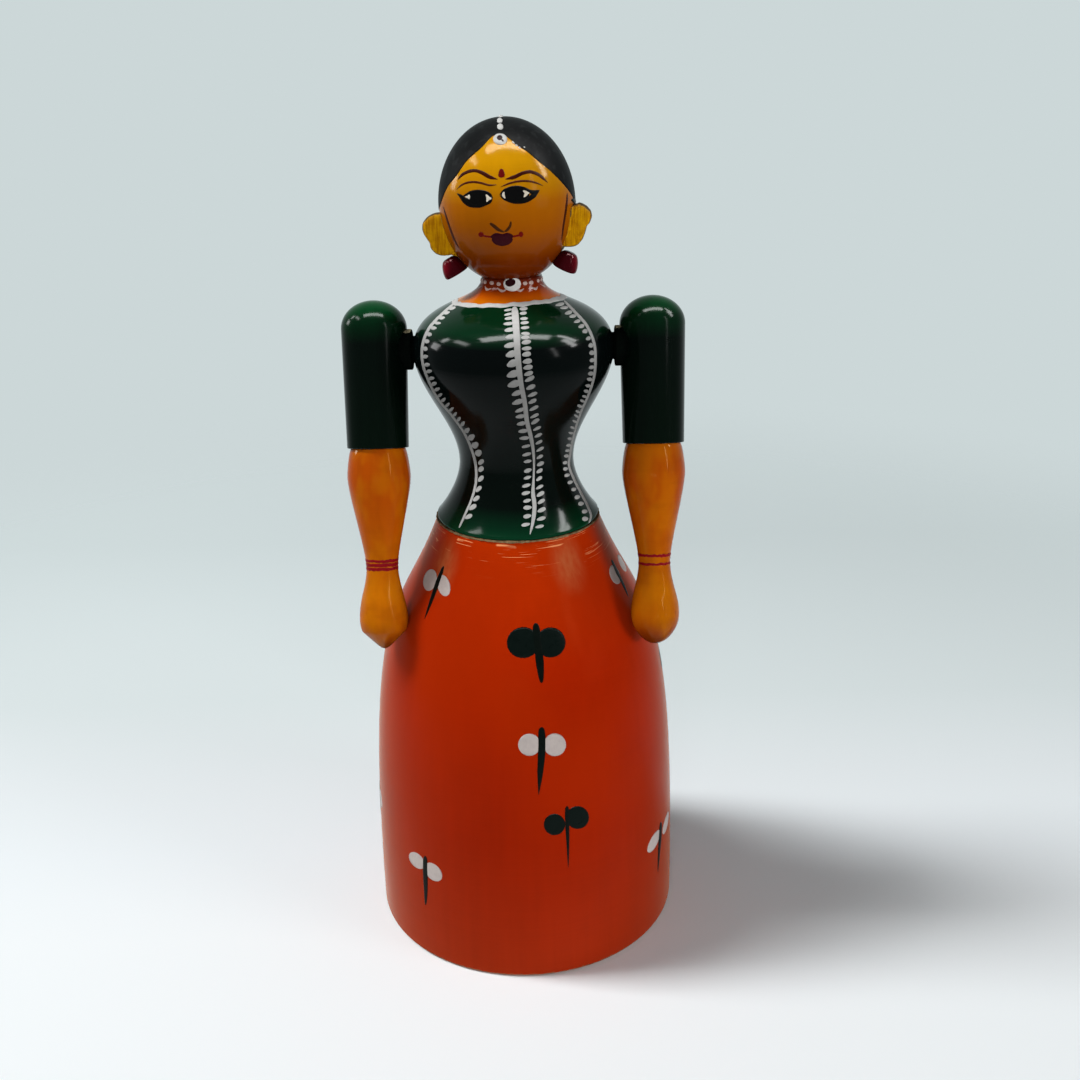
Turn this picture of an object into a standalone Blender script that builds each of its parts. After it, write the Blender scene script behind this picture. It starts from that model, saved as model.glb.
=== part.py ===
"""Wooden doll, turned on a lathe and lacquered: a solid skirt, a blouse and neck in one
piece, a head with carved ears and hanging beads, and two arms that swing on shoulder pins.

Metres, +Z up. The doll stands on z = 0 and looks along -Y, so its own left is at +X.
"""

import math

import bmesh
import bpy

# Driving dimensions
GAP = 0.0003  # glue line between fixed pieces, and running clearance round the pins

SKIRT_RADIUS = 0.0500
SKIRT_HEIGHT = 0.1380
SKIRT_TOP_RADIUS = 0.0252
FOOT_EDGE = 0.0010  # small bevel turned on the foot's edge
SKIRT_FULLNESS = 0.85  # how far up the side stays full, as a share of the height
HIP_SLOPE = math.radians(21)  # lean of the side just under the hem, from upright
HIP_RUN = 0.27  # how far down that lean is felt, as a share of the height

HEM_RADIUS = 0.0250
HEM_BAND = 0.0012  # upright edge of the blouse's hem
WAIST_RADIUS = 0.0175
WAIST_RISE = 0.0182  # hem to waist
BUST_RADIUS = 0.0298
BUST_RISE = 0.0340  # waist to bust, where the shoulder pins are
NECK_RADIUS = 0.0088
NECK_RISE = 0.0213  # bust to the top of the neck

HEAD_RADIUS = 0.0194
CROWN_RISE = 0.0234  # widest ring to the crown
CHIN_DEPTH = 0.0223  # widest ring to where the lower curve would close
HEAD_LEAN = math.radians(2.2)  # the head is glued a little towards the doll's right
HEAD_TURN = math.radians(4)  # and looks a little that way

EAR_THICKNESS = 0.0045
EAR_FRONT = 0.0055  # front face, ahead of the head's axis
EAR_EDGE = 0.0007
EAR_LOBE_RADIUS = 0.0043
EAR_LOBE_OUT = 0.0003  # centre of the upper lobe, outside the head's widest ring
EAR_LOBE_DROP = 0.0050  # and below it
EAR_TIP_RADIUS = 0.0031
EAR_TIP_IN = 0.0008  # centre of the lower lobe, inwards from the upper one's
EAR_TIP_DROP = 0.0049  # and below it

BEAD_TOP_RADIUS = 0.0015
BEAD_MOUTH_RADIUS = 0.0037
BEAD_LENGTH = 0.0052
BEAD_LIP = 0.0007
BEAD_TILT = math.radians(27)  # the mouth points down and towards the neck
BEAD_IN = 0.0012  # top of the bead, inwards from the lower lobe's centre

SLEEVE_RADIUS = 0.00975
SLEEVE_MOUTH_RADIUS = 0.0092
SLEEVE_RISE = 0.0146  # pin to the top of the sleeve
SLEEVE_CAP = 0.0084  # height of its domed end
SLEEVE_DROP = 0.0290  # pin to the sleeve's mouth
SHOULDER_DAYLIGHT = 0.00175  # between the blouse and the sleeve

ELBOW_RADIUS = 0.0083  # top of the forearm, under the sleeve's mouth
FOREARM_RADIUS = 0.0095
FOREARM_DROP = 0.0082  # sleeve's mouth to the forearm's fullest ring
WRIST_RADIUS = 0.0048
WRIST_DROP = 0.0275  # from there to the wrist
HAND_RADIUS = 0.0073
HAND_DROP = 0.0160  # wrist to the hand's fullest ring
HAND_LENGTH = 0.0092  # from there to the fingertip
FINGERTIP_RADIUS = 0.0009
HAND_REST_GAP = 0.0005  # between a hand at rest and the skirt

WAIST_DOWEL_RADIUS = 0.0060
WAIST_DOWEL_DEPTH = 0.0140  # into each piece
NECK_DOWEL_RADIUS = 0.0040
NECK_DOWEL_DEPTH = 0.0110
ELBOW_DOWEL_RADIUS = 0.0025
ELBOW_DOWEL_DEPTH = 0.0080

TENON_RADIUS = 0.0040  # part of the shoulder pin that turns in the blouse
TENON_LENGTH = 0.0150
COLLAR_RADIUS = 0.0060  # part that shows between blouse and sleeve
PEG_RADIUS = 0.0030  # part that is glued into the sleeve
PEG_LENGTH = 0.0130

# Shape of the turned curves: how long each side stays upright next to a ring, as a share of
# its height
NECK_HOLD = 0.40
SHOULDER_HOLD = 0.69
BUST_HOLD = 0.33
WAIST_HOLD = 0.36
HIP_HOLD = 0.45
FOREARM_HOLD = 0.20
HAND_HOLD = 0.34
BEAD_SWELL = 0.40  # share of its widening that the bead does at once, near its top
BEAD_HOLD = 0.50

# Fineness of the solids
CURVE_STEPS = 6
BIG_STEPS = 40
MIDDLE_STEPS = 24
SMALL_STEPS = 16
MERGE = 0.00001

# Places that follow from the sizes
HEM_Z = SKIRT_HEIGHT + GAP
WAIST_Z = HEM_Z + WAIST_RISE
SHOULDER_Z = WAIST_Z + BUST_RISE
NECK_TOP_Z = SHOULDER_Z + NECK_RISE
ARM_SPREAD = BUST_RADIUS + SHOULDER_DAYLIGHT + SLEEVE_RADIUS
ELBOW_DROP = SLEEVE_DROP + GAP
COLLAR_SEAT = math.sqrt(SLEEVE_RADIUS**2 - COLLAR_RADIUS**2)
HEAD_EQUATOR = GAP + CHIN_DEPTH * math.sqrt(1 - (NECK_RADIUS / HEAD_RADIUS) ** 2)


def lacquer(name, colour, roughness=0.22):
    """A glossy lac finish over the turned wood."""
    material = bpy.data.materials.new(name)
    material.use_nodes = True
    shader = material.node_tree.nodes["Principled BSDF"]
    shader.inputs["Base Color"].default_value = (*colour, 1)
    shader.inputs["Roughness"].default_value = roughness
    shader.inputs["Metallic"].default_value = 0
    return material


def curve(start, start_handle, end_handle, end, steps=CURVE_STEPS):
    """Points of a cubic Bezier from start to end, without its first point."""
    points = []
    for step in range(1, steps + 1):
        t = step / steps
        weights = ((1 - t) ** 3, 3 * (1 - t) ** 2 * t, 3 * (1 - t) * t**2, t**3)
        corners = (start, start_handle, end_handle, end)
        points.append(tuple(sum(w * c[axis] for w, c in zip(weights, corners)) for axis in (0, 1)))
    return points


def bulge(top_radius, top, bottom_radius, bottom, top_pull, bottom_pull, steps=CURVE_STEPS):
    """A side that is upright at both ends; each pull is the share of the height it stays so."""
    height = top - bottom
    return curve(
        (top_radius, top),
        (top_radius, top - top_pull * height),
        (bottom_radius, bottom + bottom_pull * height),
        (bottom_radius, bottom),
        steps,
    )


def ellipse(radius, height, centre, start, end, steps):
    """Points of an ellipse round (0, centre); the angles run from 90 degrees at its top."""
    angles = (start + (end - start) * step / steps for step in range(steps + 1))
    return [(radius * math.cos(a), centre + height * math.sin(a)) for a in angles]


def turned(name, outline, material=None, steps=MIDDLE_STEPS):
    """Spins an outline of (radius, z) points, from the top of the axis down the outside and
    back to the axis, round Z."""
    mesh = bpy.data.meshes.new(name)
    points = [(radius, 0, z) for radius, z in outline]
    mesh.from_pydata(points, [(i, i + 1) for i in range(len(points) - 1)], [])
    piece = bpy.data.objects.new(name, mesh)
    bpy.context.scene.collection.objects.link(piece)
    if material:
        mesh.materials.append(material)
    screw = piece.modifiers.new("turning", "SCREW")
    screw.axis = "Z"
    screw.steps = steps
    screw.render_steps = steps
    screw.use_merge_vertices = True
    screw.merge_threshold = MERGE
    screw.use_smooth_shade = True
    return piece


def seat(name, place=(0, 0, 0), rotation=(0, 0, 0)):
    """An empty that carries the pieces fixed to it."""
    empty = bpy.data.objects.new(name, None)
    bpy.context.scene.collection.objects.link(empty)
    empty.location = place
    empty.rotation_euler = rotation
    return empty


def hide_cutter(cutter):
    cutter.hide_render = True
    cutter.display_type = "WIRE"
    return cutter


def cut(piece, cutter):
    """Takes the cutter's space out of the piece."""
    boolean = piece.modifiers.new(cutter.name, "BOOLEAN")
    boolean.operation = "DIFFERENCE"
    boolean.solver = "EXACT"
    boolean.object = cutter


def peg(name, radius, bottom, top, material, steps=SMALL_STEPS):
    """A plain dowel along Z."""
    return turned(name, [(0, top), (radius, top), (radius, bottom), (0, bottom)], material, steps)


def skirt_side():
    """The skirt's outside, from the hem's ledge down to the bevel at the foot."""
    run = HIP_RUN * SKIRT_HEIGHT
    top = (SKIRT_TOP_RADIUS, SKIRT_HEIGHT)
    hip = (SKIRT_TOP_RADIUS + run * math.sin(HIP_SLOPE), SKIRT_HEIGHT - run * math.cos(HIP_SLOPE))
    full = (SKIRT_RADIUS, SKIRT_FULLNESS * SKIRT_HEIGHT)
    return [top, *curve(top, hip, full, (SKIRT_RADIUS, FOOT_EDGE), 2 * CURVE_STEPS)]


def make_skirt(material):
    socket = WAIST_DOWEL_RADIUS + GAP
    depth = SKIRT_HEIGHT - WAIST_DOWEL_DEPTH - GAP
    outline = [(0, depth), (socket, depth), (socket, SKIRT_HEIGHT)]
    outline += skirt_side()
    outline += [(SKIRT_RADIUS - FOOT_EDGE, 0), (0, 0)]
    return turned("skirt", outline, material, BIG_STEPS)


def make_torso(material):
    """Blouse and neck. The neck starts too tall, and the head's seat trims it."""
    neck_end = NECK_TOP_Z + NECK_RADIUS * math.sin(HEAD_LEAN) + FOOT_EDGE
    shoulder = [(0, neck_end), (NECK_RADIUS, neck_end), (NECK_RADIUS, NECK_TOP_Z)]
    shoulder += bulge(
        NECK_RADIUS, NECK_TOP_Z, BUST_RADIUS, SHOULDER_Z, NECK_HOLD, SHOULDER_HOLD, 2 * CURVE_STEPS
    )
    waist = bulge(
        BUST_RADIUS, SHOULDER_Z, WAIST_RADIUS, WAIST_Z, BUST_HOLD, WAIST_HOLD, CURVE_STEPS + 3
    )
    band_top = HEM_Z + HEM_BAND
    hem = curve(
        (WAIST_RADIUS, WAIST_Z),
        (WAIST_RADIUS, WAIST_Z - HIP_HOLD * (WAIST_Z - band_top)),
        (HEM_RADIUS - HEM_BAND, band_top + HEM_BAND),
        (HEM_RADIUS, band_top),
    )
    socket = WAIST_DOWEL_RADIUS + GAP
    depth = HEM_Z + WAIST_DOWEL_DEPTH + GAP
    foot = [(HEM_RADIUS, HEM_Z), (socket, HEM_Z), (socket, depth), (0, depth)]
    return turned("torso", shoulder + waist + hem + foot, material, BIG_STEPS)


def make_head(material, parent):
    """Head, in the frame of its seat on top of the neck."""
    lower = -math.asin((HEAD_EQUATOR - GAP) / CHIN_DEPTH)
    outline = ellipse(HEAD_RADIUS, CROWN_RISE, HEAD_EQUATOR, math.pi / 2, 0, CURVE_STEPS + 2)
    outline += ellipse(HEAD_RADIUS, CHIN_DEPTH, HEAD_EQUATOR, 0, lower, CURVE_STEPS)[1:]
    socket = NECK_DOWEL_RADIUS + GAP
    depth = GAP + NECK_DOWEL_DEPTH + GAP
    outline[0] = (0, HEAD_EQUATOR + CROWN_RISE)
    outline += [(socket, GAP), (socket, depth), (0, depth)]
    head = turned("head", outline, material, BIG_STEPS)
    head.parent = parent
    return head


def make_head_cutter(parent):
    """The head and its glue line, taken out of the ears and beads that sit against it."""
    radius = HEAD_RADIUS + GAP
    outline = ellipse(radius, CROWN_RISE + GAP, HEAD_EQUATOR, math.pi / 2, 0, CURVE_STEPS + 2)
    outline += ellipse(radius, CHIN_DEPTH + GAP, HEAD_EQUATOR, 0, -math.pi / 2, CURVE_STEPS + 2)[1:]
    outline[0] = (0, outline[0][1])
    outline[-1] = (0, outline[-1][1])
    cutter = turned("head_space", outline, None, BIG_STEPS)
    cutter.parent = parent
    return hide_cutter(cutter)


def make_neck_cutter(parent):
    """Socket for the neck dowel and the slant that the head is glued on."""
    hole = NECK_DOWEL_RADIUS + GAP
    reach = 2 * NECK_RADIUS
    floor = -NECK_DOWEL_DEPTH - GAP
    outline = [(0, reach), (reach, reach), (reach, 0), (hole, 0), (hole, floor), (0, floor)]
    cutter = turned("neck_seat_space", outline, None, SMALL_STEPS)
    cutter.parent = parent
    return hide_cutter(cutter)


def ear_outline(side):
    """The lobes' outline in the head's frame, as (x, z), from the top round to the root."""
    lobe_x = HEAD_RADIUS + EAR_LOBE_OUT
    lobe_z = HEAD_EQUATOR - EAR_LOBE_DROP
    tip_x = lobe_x - EAR_TIP_IN
    tip_z = lobe_z - EAR_TIP_DROP
    notch = math.atan2(EAR_TIP_DROP, EAR_LOBE_RADIUS)
    points = [(HEAD_RADIUS / 2, lobe_z + EAR_LOBE_RADIUS)]
    for step in range(CURVE_STEPS + 2):
        angle = math.pi / 2 - (math.pi / 2 + notch) * step / (CURVE_STEPS + 1)
        x = lobe_x + EAR_LOBE_RADIUS * math.cos(angle)
        points.append((x, lobe_z + EAR_LOBE_RADIUS * math.sin(angle)))
    for step in range(1, CURVE_STEPS + 1):
        angle = -math.pi / 2 * step / CURVE_STEPS
        x = tip_x + EAR_TIP_RADIUS * math.cos(angle)
        points.append((x, tip_z + EAR_TIP_RADIUS * math.sin(angle)))
    points.append((HEAD_RADIUS / 2, tip_z - EAR_TIP_RADIUS))
    return [(side * x, z) for x, z in points]


def make_ear(name, side, material, parent, head_space):
    """A flat carved slip with two lobes, glued to the side of the head."""
    shape = bmesh.new()
    corners = [shape.verts.new((x, -EAR_FRONT, z)) for x, z in ear_outline(side)]
    face = shape.faces.new(corners)
    grown = bmesh.ops.extrude_face_region(shape, geom=[face])
    back = [element for element in grown["geom"] if isinstance(element, bmesh.types.BMVert)]
    bmesh.ops.translate(shape, verts=back, vec=(0, EAR_THICKNESS, 0))
    bmesh.ops.recalc_face_normals(shape, faces=shape.faces)
    mesh = bpy.data.meshes.new(name)
    shape.to_mesh(mesh)
    shape.free()
    mesh.materials.append(material)
    ear = bpy.data.objects.new(name, mesh)
    bpy.context.scene.collection.objects.link(ear)
    ear.parent = parent
    bevel = ear.modifiers.new("worn edge", "BEVEL")
    bevel.width = EAR_EDGE
    bevel.segments = 2
    bevel.limit_method = "ANGLE"
    bevel.angle_limit = math.radians(60)
    cut(ear, head_space)
    return ear


def make_earring(name, side, material, parent, head_space):
    """A bell-shaped bead under the ear, glued to the jaw."""
    lip = BEAD_MOUTH_RADIUS - BEAD_LIP
    outline = [(0, 0), (BEAD_TOP_RADIUS, 0)]
    outline += curve(
        (BEAD_TOP_RADIUS, 0),
        (BEAD_TOP_RADIUS + BEAD_SWELL * (BEAD_MOUTH_RADIUS - BEAD_TOP_RADIUS), 0),
        (BEAD_MOUTH_RADIUS, -BEAD_HOLD * BEAD_LENGTH),
        (BEAD_MOUTH_RADIUS, BEAD_LIP - BEAD_LENGTH),
    )
    outline += [(lip, -BEAD_LENGTH), (0, -BEAD_LENGTH)]
    bead = turned(name, outline, material, SMALL_STEPS)
    bead.parent = parent
    ear_bottom = HEAD_EQUATOR - EAR_LOBE_DROP - EAR_TIP_DROP - EAR_TIP_RADIUS
    out = HEAD_RADIUS + EAR_LOBE_OUT - EAR_TIP_IN - BEAD_IN
    top = ear_bottom - GAP - BEAD_TOP_RADIUS * math.sin(BEAD_TILT)
    bead.location = (side * out, EAR_THICKNESS / 2 - EAR_FRONT, top)
    bead.rotation_euler = (0, side * BEAD_TILT, 0)
    cut(bead, head_space)
    return bead


def forearm_side():
    """Outside of forearm and hand, from the elbow down to the fingertip, below the pin."""
    full = ELBOW_DROP + FOREARM_DROP
    wrist = full + WRIST_DROP
    hand = wrist + HAND_DROP
    elbow = (ELBOW_RADIUS, -ELBOW_DROP)
    side = [elbow]
    side += curve(
        elbow,
        ((ELBOW_RADIUS + FOREARM_RADIUS) / 2, -ELBOW_DROP - FOREARM_HOLD * FOREARM_DROP),
        (FOREARM_RADIUS, -full + FOREARM_HOLD * FOREARM_DROP),
        (FOREARM_RADIUS, -full),
        CURVE_STEPS - 3,
    )
    side += bulge(FOREARM_RADIUS, -full, WRIST_RADIUS, -wrist, FOREARM_HOLD, FOREARM_HOLD)
    side += bulge(WRIST_RADIUS, -wrist, HAND_RADIUS, -hand, HAND_HOLD, HAND_HOLD, CURVE_STEPS - 1)
    nub = math.acos(FINGERTIP_RADIUS / HAND_RADIUS)
    side += ellipse(HAND_RADIUS, HAND_LENGTH, -hand, 0, -nub, CURVE_STEPS)[1:]
    return side


def radius_at(outline, z):
    """Radius of an outline that runs downwards, at a height z; nothing above or below it."""
    for (above, top), (below, bottom) in zip(outline, outline[1:]):
        if bottom <= z <= top:
            return below + (above - below) * (z - bottom) / max(top - bottom, MERGE)
    return 0


def hand_clearance(swing):
    """Least distance from the arm to the skirt's side, measured level, at a forward swing."""
    side = skirt_side()
    least = ARM_SPREAD
    for radius, z in forearm_side():
        for step in range(SMALL_STEPS):
            angle = 2 * math.pi * step / SMALL_STEPS
            across = radius * math.cos(angle)
            along = radius * math.sin(angle)
            x = ARM_SPREAD - across
            y = along * math.cos(swing) + z * math.sin(swing)
            height = SHOULDER_Z + z * math.cos(swing) - along * math.sin(swing)
            least = min(least, math.hypot(x, y) - radius_at(side, height))
    return least


def resting_swing():
    """The smallest forward swing at which the hand lies clear of the skirt."""
    hanging, lifted = 0.0, math.pi / 2
    if hand_clearance(hanging) >= HAND_REST_GAP:
        return hanging
    for _ in range(20):
        middle = (hanging + lifted) / 2
        if hand_clearance(middle) >= HAND_REST_GAP:
            lifted = middle
        else:
            hanging = middle
    return lifted


def pin_outline(grow, peg_end, seat_end, collar_end, tenon_end):
    """Outline of the shoulder pin, or of the space for it, from the blouse outwards."""
    return [
        (0, tenon_end),
        (TENON_RADIUS + grow, tenon_end),
        (TENON_RADIUS + grow, collar_end),
        (COLLAR_RADIUS + grow, collar_end),
        (COLLAR_RADIUS + grow, seat_end),
        (PEG_RADIUS + grow, seat_end),
        (PEG_RADIUS + grow, peg_end),
        (0, peg_end),
    ]


def make_arm(which, side, swing, torso, colours):
    """Sleeve, forearm with hand, the dowel between them and the pin that the arm turns on.
    The seat lies on the pin's axis, and the pin's own Z points at the blouse."""
    shoulder = seat(f"{which}_shoulder", (side * ARM_SPREAD, 0, SHOULDER_Z), (-swing, 0, 0))
    towards_body = (0, -side * math.pi / 2, 0)

    cap_z = SLEEVE_RISE - SLEEVE_CAP
    outline = ellipse(SLEEVE_RADIUS, SLEEVE_CAP, cap_z, math.pi / 2, 0, CURVE_STEPS)
    outline[0] = (0, SLEEVE_RISE)
    socket = ELBOW_DOWEL_RADIUS + GAP
    depth = -SLEEVE_DROP + ELBOW_DOWEL_DEPTH + GAP
    outline += [(SLEEVE_MOUTH_RADIUS, -SLEEVE_DROP), (socket, -SLEEVE_DROP), (socket, depth), (0, depth)]
    sleeve = turned(f"{which}_sleeve", outline, colours["sleeve"])
    sleeve.parent = shoulder

    socket_floor = -ELBOW_DROP - ELBOW_DOWEL_DEPTH - GAP
    fingertip = forearm_side()[-1]
    outline = [(0, socket_floor), (socket, socket_floor), (socket, -ELBOW_DROP)]
    outline += forearm_side() + [(0, fingertip[1])]
    forearm = turned(f"{which}_forearm", outline, colours["skin"])
    forearm.parent = shoulder

    dowel = peg(
        f"{which}_elbow_dowel",
        ELBOW_DOWEL_RADIUS,
        -ELBOW_DROP - ELBOW_DOWEL_DEPTH,
        -SLEEVE_DROP + ELBOW_DOWEL_DEPTH,
        colours["wood"],
    )
    dowel.parent = shoulder

    collar_end = ARM_SPREAD - BUST_RADIUS - GAP
    tenon_end = collar_end + TENON_LENGTH
    seat_end = COLLAR_SEAT - GAP
    peg_end = seat_end - PEG_LENGTH
    pin = turned(
        f"{which}_shoulder_pin",
        pin_outline(0, peg_end, seat_end, collar_end, tenon_end),
        colours["sleeve"],
        SMALL_STEPS,
    )
    pin.parent = shoulder
    pin.rotation_euler = towards_body

    hole = turned(
        f"{which}_sleeve_hole",
        pin_outline(GAP, peg_end - GAP, seat_end - GAP, SLEEVE_RADIUS + GAP, tenon_end),
        None,
        SMALL_STEPS,
    )
    hole.parent = shoulder
    hole.rotation_euler = towards_body
    cut(sleeve, hide_cutter(hole))

    bore_end = tenon_end + GAP
    bore_radius = TENON_RADIUS + GAP
    bore = peg(f"{which}_torso_bore", bore_radius, 0, bore_end, None)
    bore.location = shoulder.location
    bore.rotation_euler = towards_body
    cut(torso, hide_cutter(bore))


def build():
    for old in list(bpy.data.objects):
        bpy.data.objects.remove(old, do_unlink=True)
    bottle_green = lacquer("bottle_green_lac", (0.004, 0.030, 0.012), 0.15)
    wood = lacquer("bare_wood", (0.55, 0.36, 0.18), 0.6)
    amber = lacquer("amber_lac", (0.40, 0.095, 0.004))
    orange = lacquer("orange_lac", (0.38, 0.025, 0.002))
    ochre = lacquer("ochre_lac", (0.45, 0.15, 0.003))
    yellow = lacquer("yellow_paint", (0.42, 0.19, 0.004), 0.5)
    crimson = lacquer("crimson_lac", (0.09, 0.002, 0.006), 0.12)

    make_skirt(orange)
    torso = make_torso(bottle_green)
    low = SKIRT_HEIGHT - WAIST_DOWEL_DEPTH
    peg("waist_dowel", WAIST_DOWEL_RADIUS, low, HEM_Z + WAIST_DOWEL_DEPTH, wood)

    head_seat = seat("head_seat", (0, 0, NECK_TOP_Z), (0, -HEAD_LEAN, -HEAD_TURN))
    cut(torso, make_neck_cutter(head_seat))
    make_head(ochre, head_seat)
    head_space = make_head_cutter(head_seat)
    neck_dowel = peg("neck_dowel", NECK_DOWEL_RADIUS, -NECK_DOWEL_DEPTH, GAP + NECK_DOWEL_DEPTH, wood)
    neck_dowel.parent = head_seat

    swing = resting_swing()
    arm_colours = {"sleeve": bottle_green, "skin": amber, "wood": wood}
    for which, side in (("left", 1), ("right", -1)):
        make_ear(f"{which}_ear", side, yellow, head_seat, head_space)
        make_earring(f"{which}_earring", side, crimson, head_seat, head_space)
        make_arm(which, side, swing, torso, arm_colours)
    print(f"arms rest {math.degrees(swing):.2f} degrees ahead of hanging straight down")


build()
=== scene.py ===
"""Wooden doll, turned on a lathe, lacquered and painted by hand. It stands on z = 0 and looks
along -Y, in metres. Its sections follow the doll from the skirt up to the head, then its arms.
"""

import math
from collections import namedtuple

import bpy
import numpy as np
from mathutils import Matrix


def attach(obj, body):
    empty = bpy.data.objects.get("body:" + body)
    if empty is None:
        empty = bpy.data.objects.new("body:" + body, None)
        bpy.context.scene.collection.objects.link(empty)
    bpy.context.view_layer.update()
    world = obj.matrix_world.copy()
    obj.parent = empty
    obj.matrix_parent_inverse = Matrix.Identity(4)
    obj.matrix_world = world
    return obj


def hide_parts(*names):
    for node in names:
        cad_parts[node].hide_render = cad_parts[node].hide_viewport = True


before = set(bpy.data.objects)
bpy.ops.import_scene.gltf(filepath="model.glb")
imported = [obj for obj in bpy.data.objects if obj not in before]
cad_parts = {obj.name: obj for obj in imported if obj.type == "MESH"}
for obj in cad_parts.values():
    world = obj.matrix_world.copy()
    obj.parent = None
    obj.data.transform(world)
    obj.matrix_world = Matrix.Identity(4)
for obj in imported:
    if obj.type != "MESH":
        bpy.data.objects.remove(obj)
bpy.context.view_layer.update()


# Camera
# The photograph looks down on the doll from just above its head. One camera was fitted to it,
# and painted marks are placed below by the pixel of the photograph that shows them.
PICTURE = 1080  # pixels across and down
FOCUS = 1210  # focal length, in those pixels
SENSOR = 36  # millimetres
EYE = np.array([0.00672, -0.356, 0.269])
DOWN = math.radians(21.5)
ROLL = math.radians(1.13)  # the photograph leans this far to the left

lens = bpy.data.cameras.new("camera")
lens.sensor_width = SENSOR
lens.lens = SENSOR * FOCUS / PICTURE
lens.clip_start = 0.01
camera = bpy.data.objects.new("camera", lens)
camera.rotation_mode = "QUATERNION"
bpy.context.scene.collection.objects.link(camera)
camera.location = EYE
tilt, turn = (math.pi / 2 - DOWN) / 2, -ROLL / 2
camera.rotation_quaternion = (
    math.cos(tilt) * math.cos(turn),
    math.sin(tilt) * math.cos(turn),
    -math.sin(tilt) * math.sin(turn),
    math.cos(tilt) * math.sin(turn),
)
bpy.context.scene.camera = camera


def unit(vectors):
    """Vectors divided by their lengths."""
    return vectors / np.linalg.norm(vectors, axis=-1, keepdims=True)


def sight(pixels):
    """Unit direction in which the camera sees each pixel: distance from the picture's centre,
    turned back by the roll, laid across the line straight ahead."""
    right, rise = pixels[..., 0] - PICTURE / 2, PICTURE / 2 - pixels[..., 1]
    across = right * math.cos(ROLL) + rise * math.sin(ROLL)
    above = rise * math.cos(ROLL) - right * math.sin(ROLL)
    ahead = FOCUS * math.cos(DOWN) + above * math.sin(DOWN)
    up = above * math.cos(DOWN) - FOCUS * math.sin(DOWN)
    return unit(np.stack([across, ahead, up], -1))


# Skirt
# One solid block of soft wood, spun on the lathe while sticks of orange lac are pressed on it.
# The lac keeps fine rings from the turning, and the wood's grain shows through it.
SKIRT_RADIUS = 0.0500
SKIRT_HEIGHT = 0.1380
SKIRT_TOP_RADIUS = 0.0252
SKIRT_FULLNESS = 0.85
HIP_SLOPE = math.radians(21)
HIP_RUN = 0.27
FOOT_EDGE = 0.0010
FOOT_RING = 0.02  # a ring of points under the foot, so that its faces aren't too long
DOWEL_SPACE = np.array([0.0063, 0.0143])  # radius and depth of the waist dowel's hole
POOL_Z, POOL_BLUR = 0.07, 0.09  # deeper red pools in the lac above this height
POOLED_LAC = (0.325, 0.016, 0.0003)
# paler, streaky patches on the hips are painted highlights; the two behind repeat them
PAINTED_SHEEN_PATCHES = ((-0.0228, -0.0191, 0.1285), (0.0150, -0.0240, 0.1310),
                  (0.0195, 0.0225, 0.1270), (-0.0080, 0.0285, 0.1280))  # their middles
PATCH_REACH, PATCH_BLUR = 0.0040, 0.0070
PAINTED_SHEEN_LAC = (0.42, 0.12, 0.04)
GLINT_Z, GLINT_BLUR = 0.1315, 0.009  # painted glints, broken up like fine scratches, lie above this height
GLINT_LAC = (0.72, 0.26, 0.10)
WORN_Z = 0.0009  # the foot's edge is worn up to about here
WORN_LAC = (0.20, 0.055, 0.022)
UPRIGHT = np.eye(4)

Side = namedtuple("Side", "height radius out up place")


def curve(start, first_pull, second_pull, end, steps=40):
    """Cubic Bezier through (radius, height) corners: each corner weighted by its Bernstein term."""
    t = np.linspace(0, 1, steps + 1)[:, None]
    weights = np.stack([(1 - t) ** 3, 3 * (1 - t) ** 2 * t, 3 * (1 - t) * t**2, t**3])
    return (weights * np.array([start, first_pull, second_pull, end])[:, None]).sum(0)


def arc(radius, height, centre, start, end, steps):
    """Ellipse round a centre in (radius, height): radius x cosine, height x sine of the angle."""
    angle = np.radians(np.linspace(start, end, steps + 1))
    return np.stack([centre[0] + radius * np.cos(angle), centre[1] + height * np.sin(angle)], 1)


def whole_turn(count):
    """Angles evenly round a whole turn."""
    return np.linspace(0, 2 * np.pi, count, endpoint=False)


def round_axis(radius, angle, height):
    """Points round the axis: radius x cosine, radius x sine, height."""
    return np.stack(np.broadcast_arrays(radius * np.cos(angle), radius * np.sin(angle), height), -1)


def rounded_edge(edge, radius, height, start, end, steps):
    """A rounded edge: an arc round a centre that lies the edge's radius inside another radius."""
    return arc(edge, edge, (radius - edge, height), start, end, steps)


def side_of(outline, place=UPRIGHT):
    """The outside of a turned piece, for paint to lie on: by height, its radius and its normal's
    two parts, out from the axis and up, at right angles to the outline."""
    height, radius = outline[np.argsort(outline[:, 1])][:, ::-1].T
    run, rise = np.gradient(radius), np.gradient(height)
    length = np.hypot(run, rise)
    return Side(height, radius, rise / length, -run / length, place)


def placed(points, place):
    """Points moved by a 4 x 4 placement: rotation times point, plus the shift."""
    return points @ place[:3, :3].T + place[:3, 3]


def smooth_piece(name, points, faces):
    """A piece with smooth shading from a mesh's points and faces."""
    mesh = bpy.data.meshes.new(name)
    mesh.from_pydata(points, [], faces)
    mesh.shade_smooth()
    piece = bpy.data.objects.new(name, mesh)
    bpy.context.scene.collection.objects.link(piece)
    return piece


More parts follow.
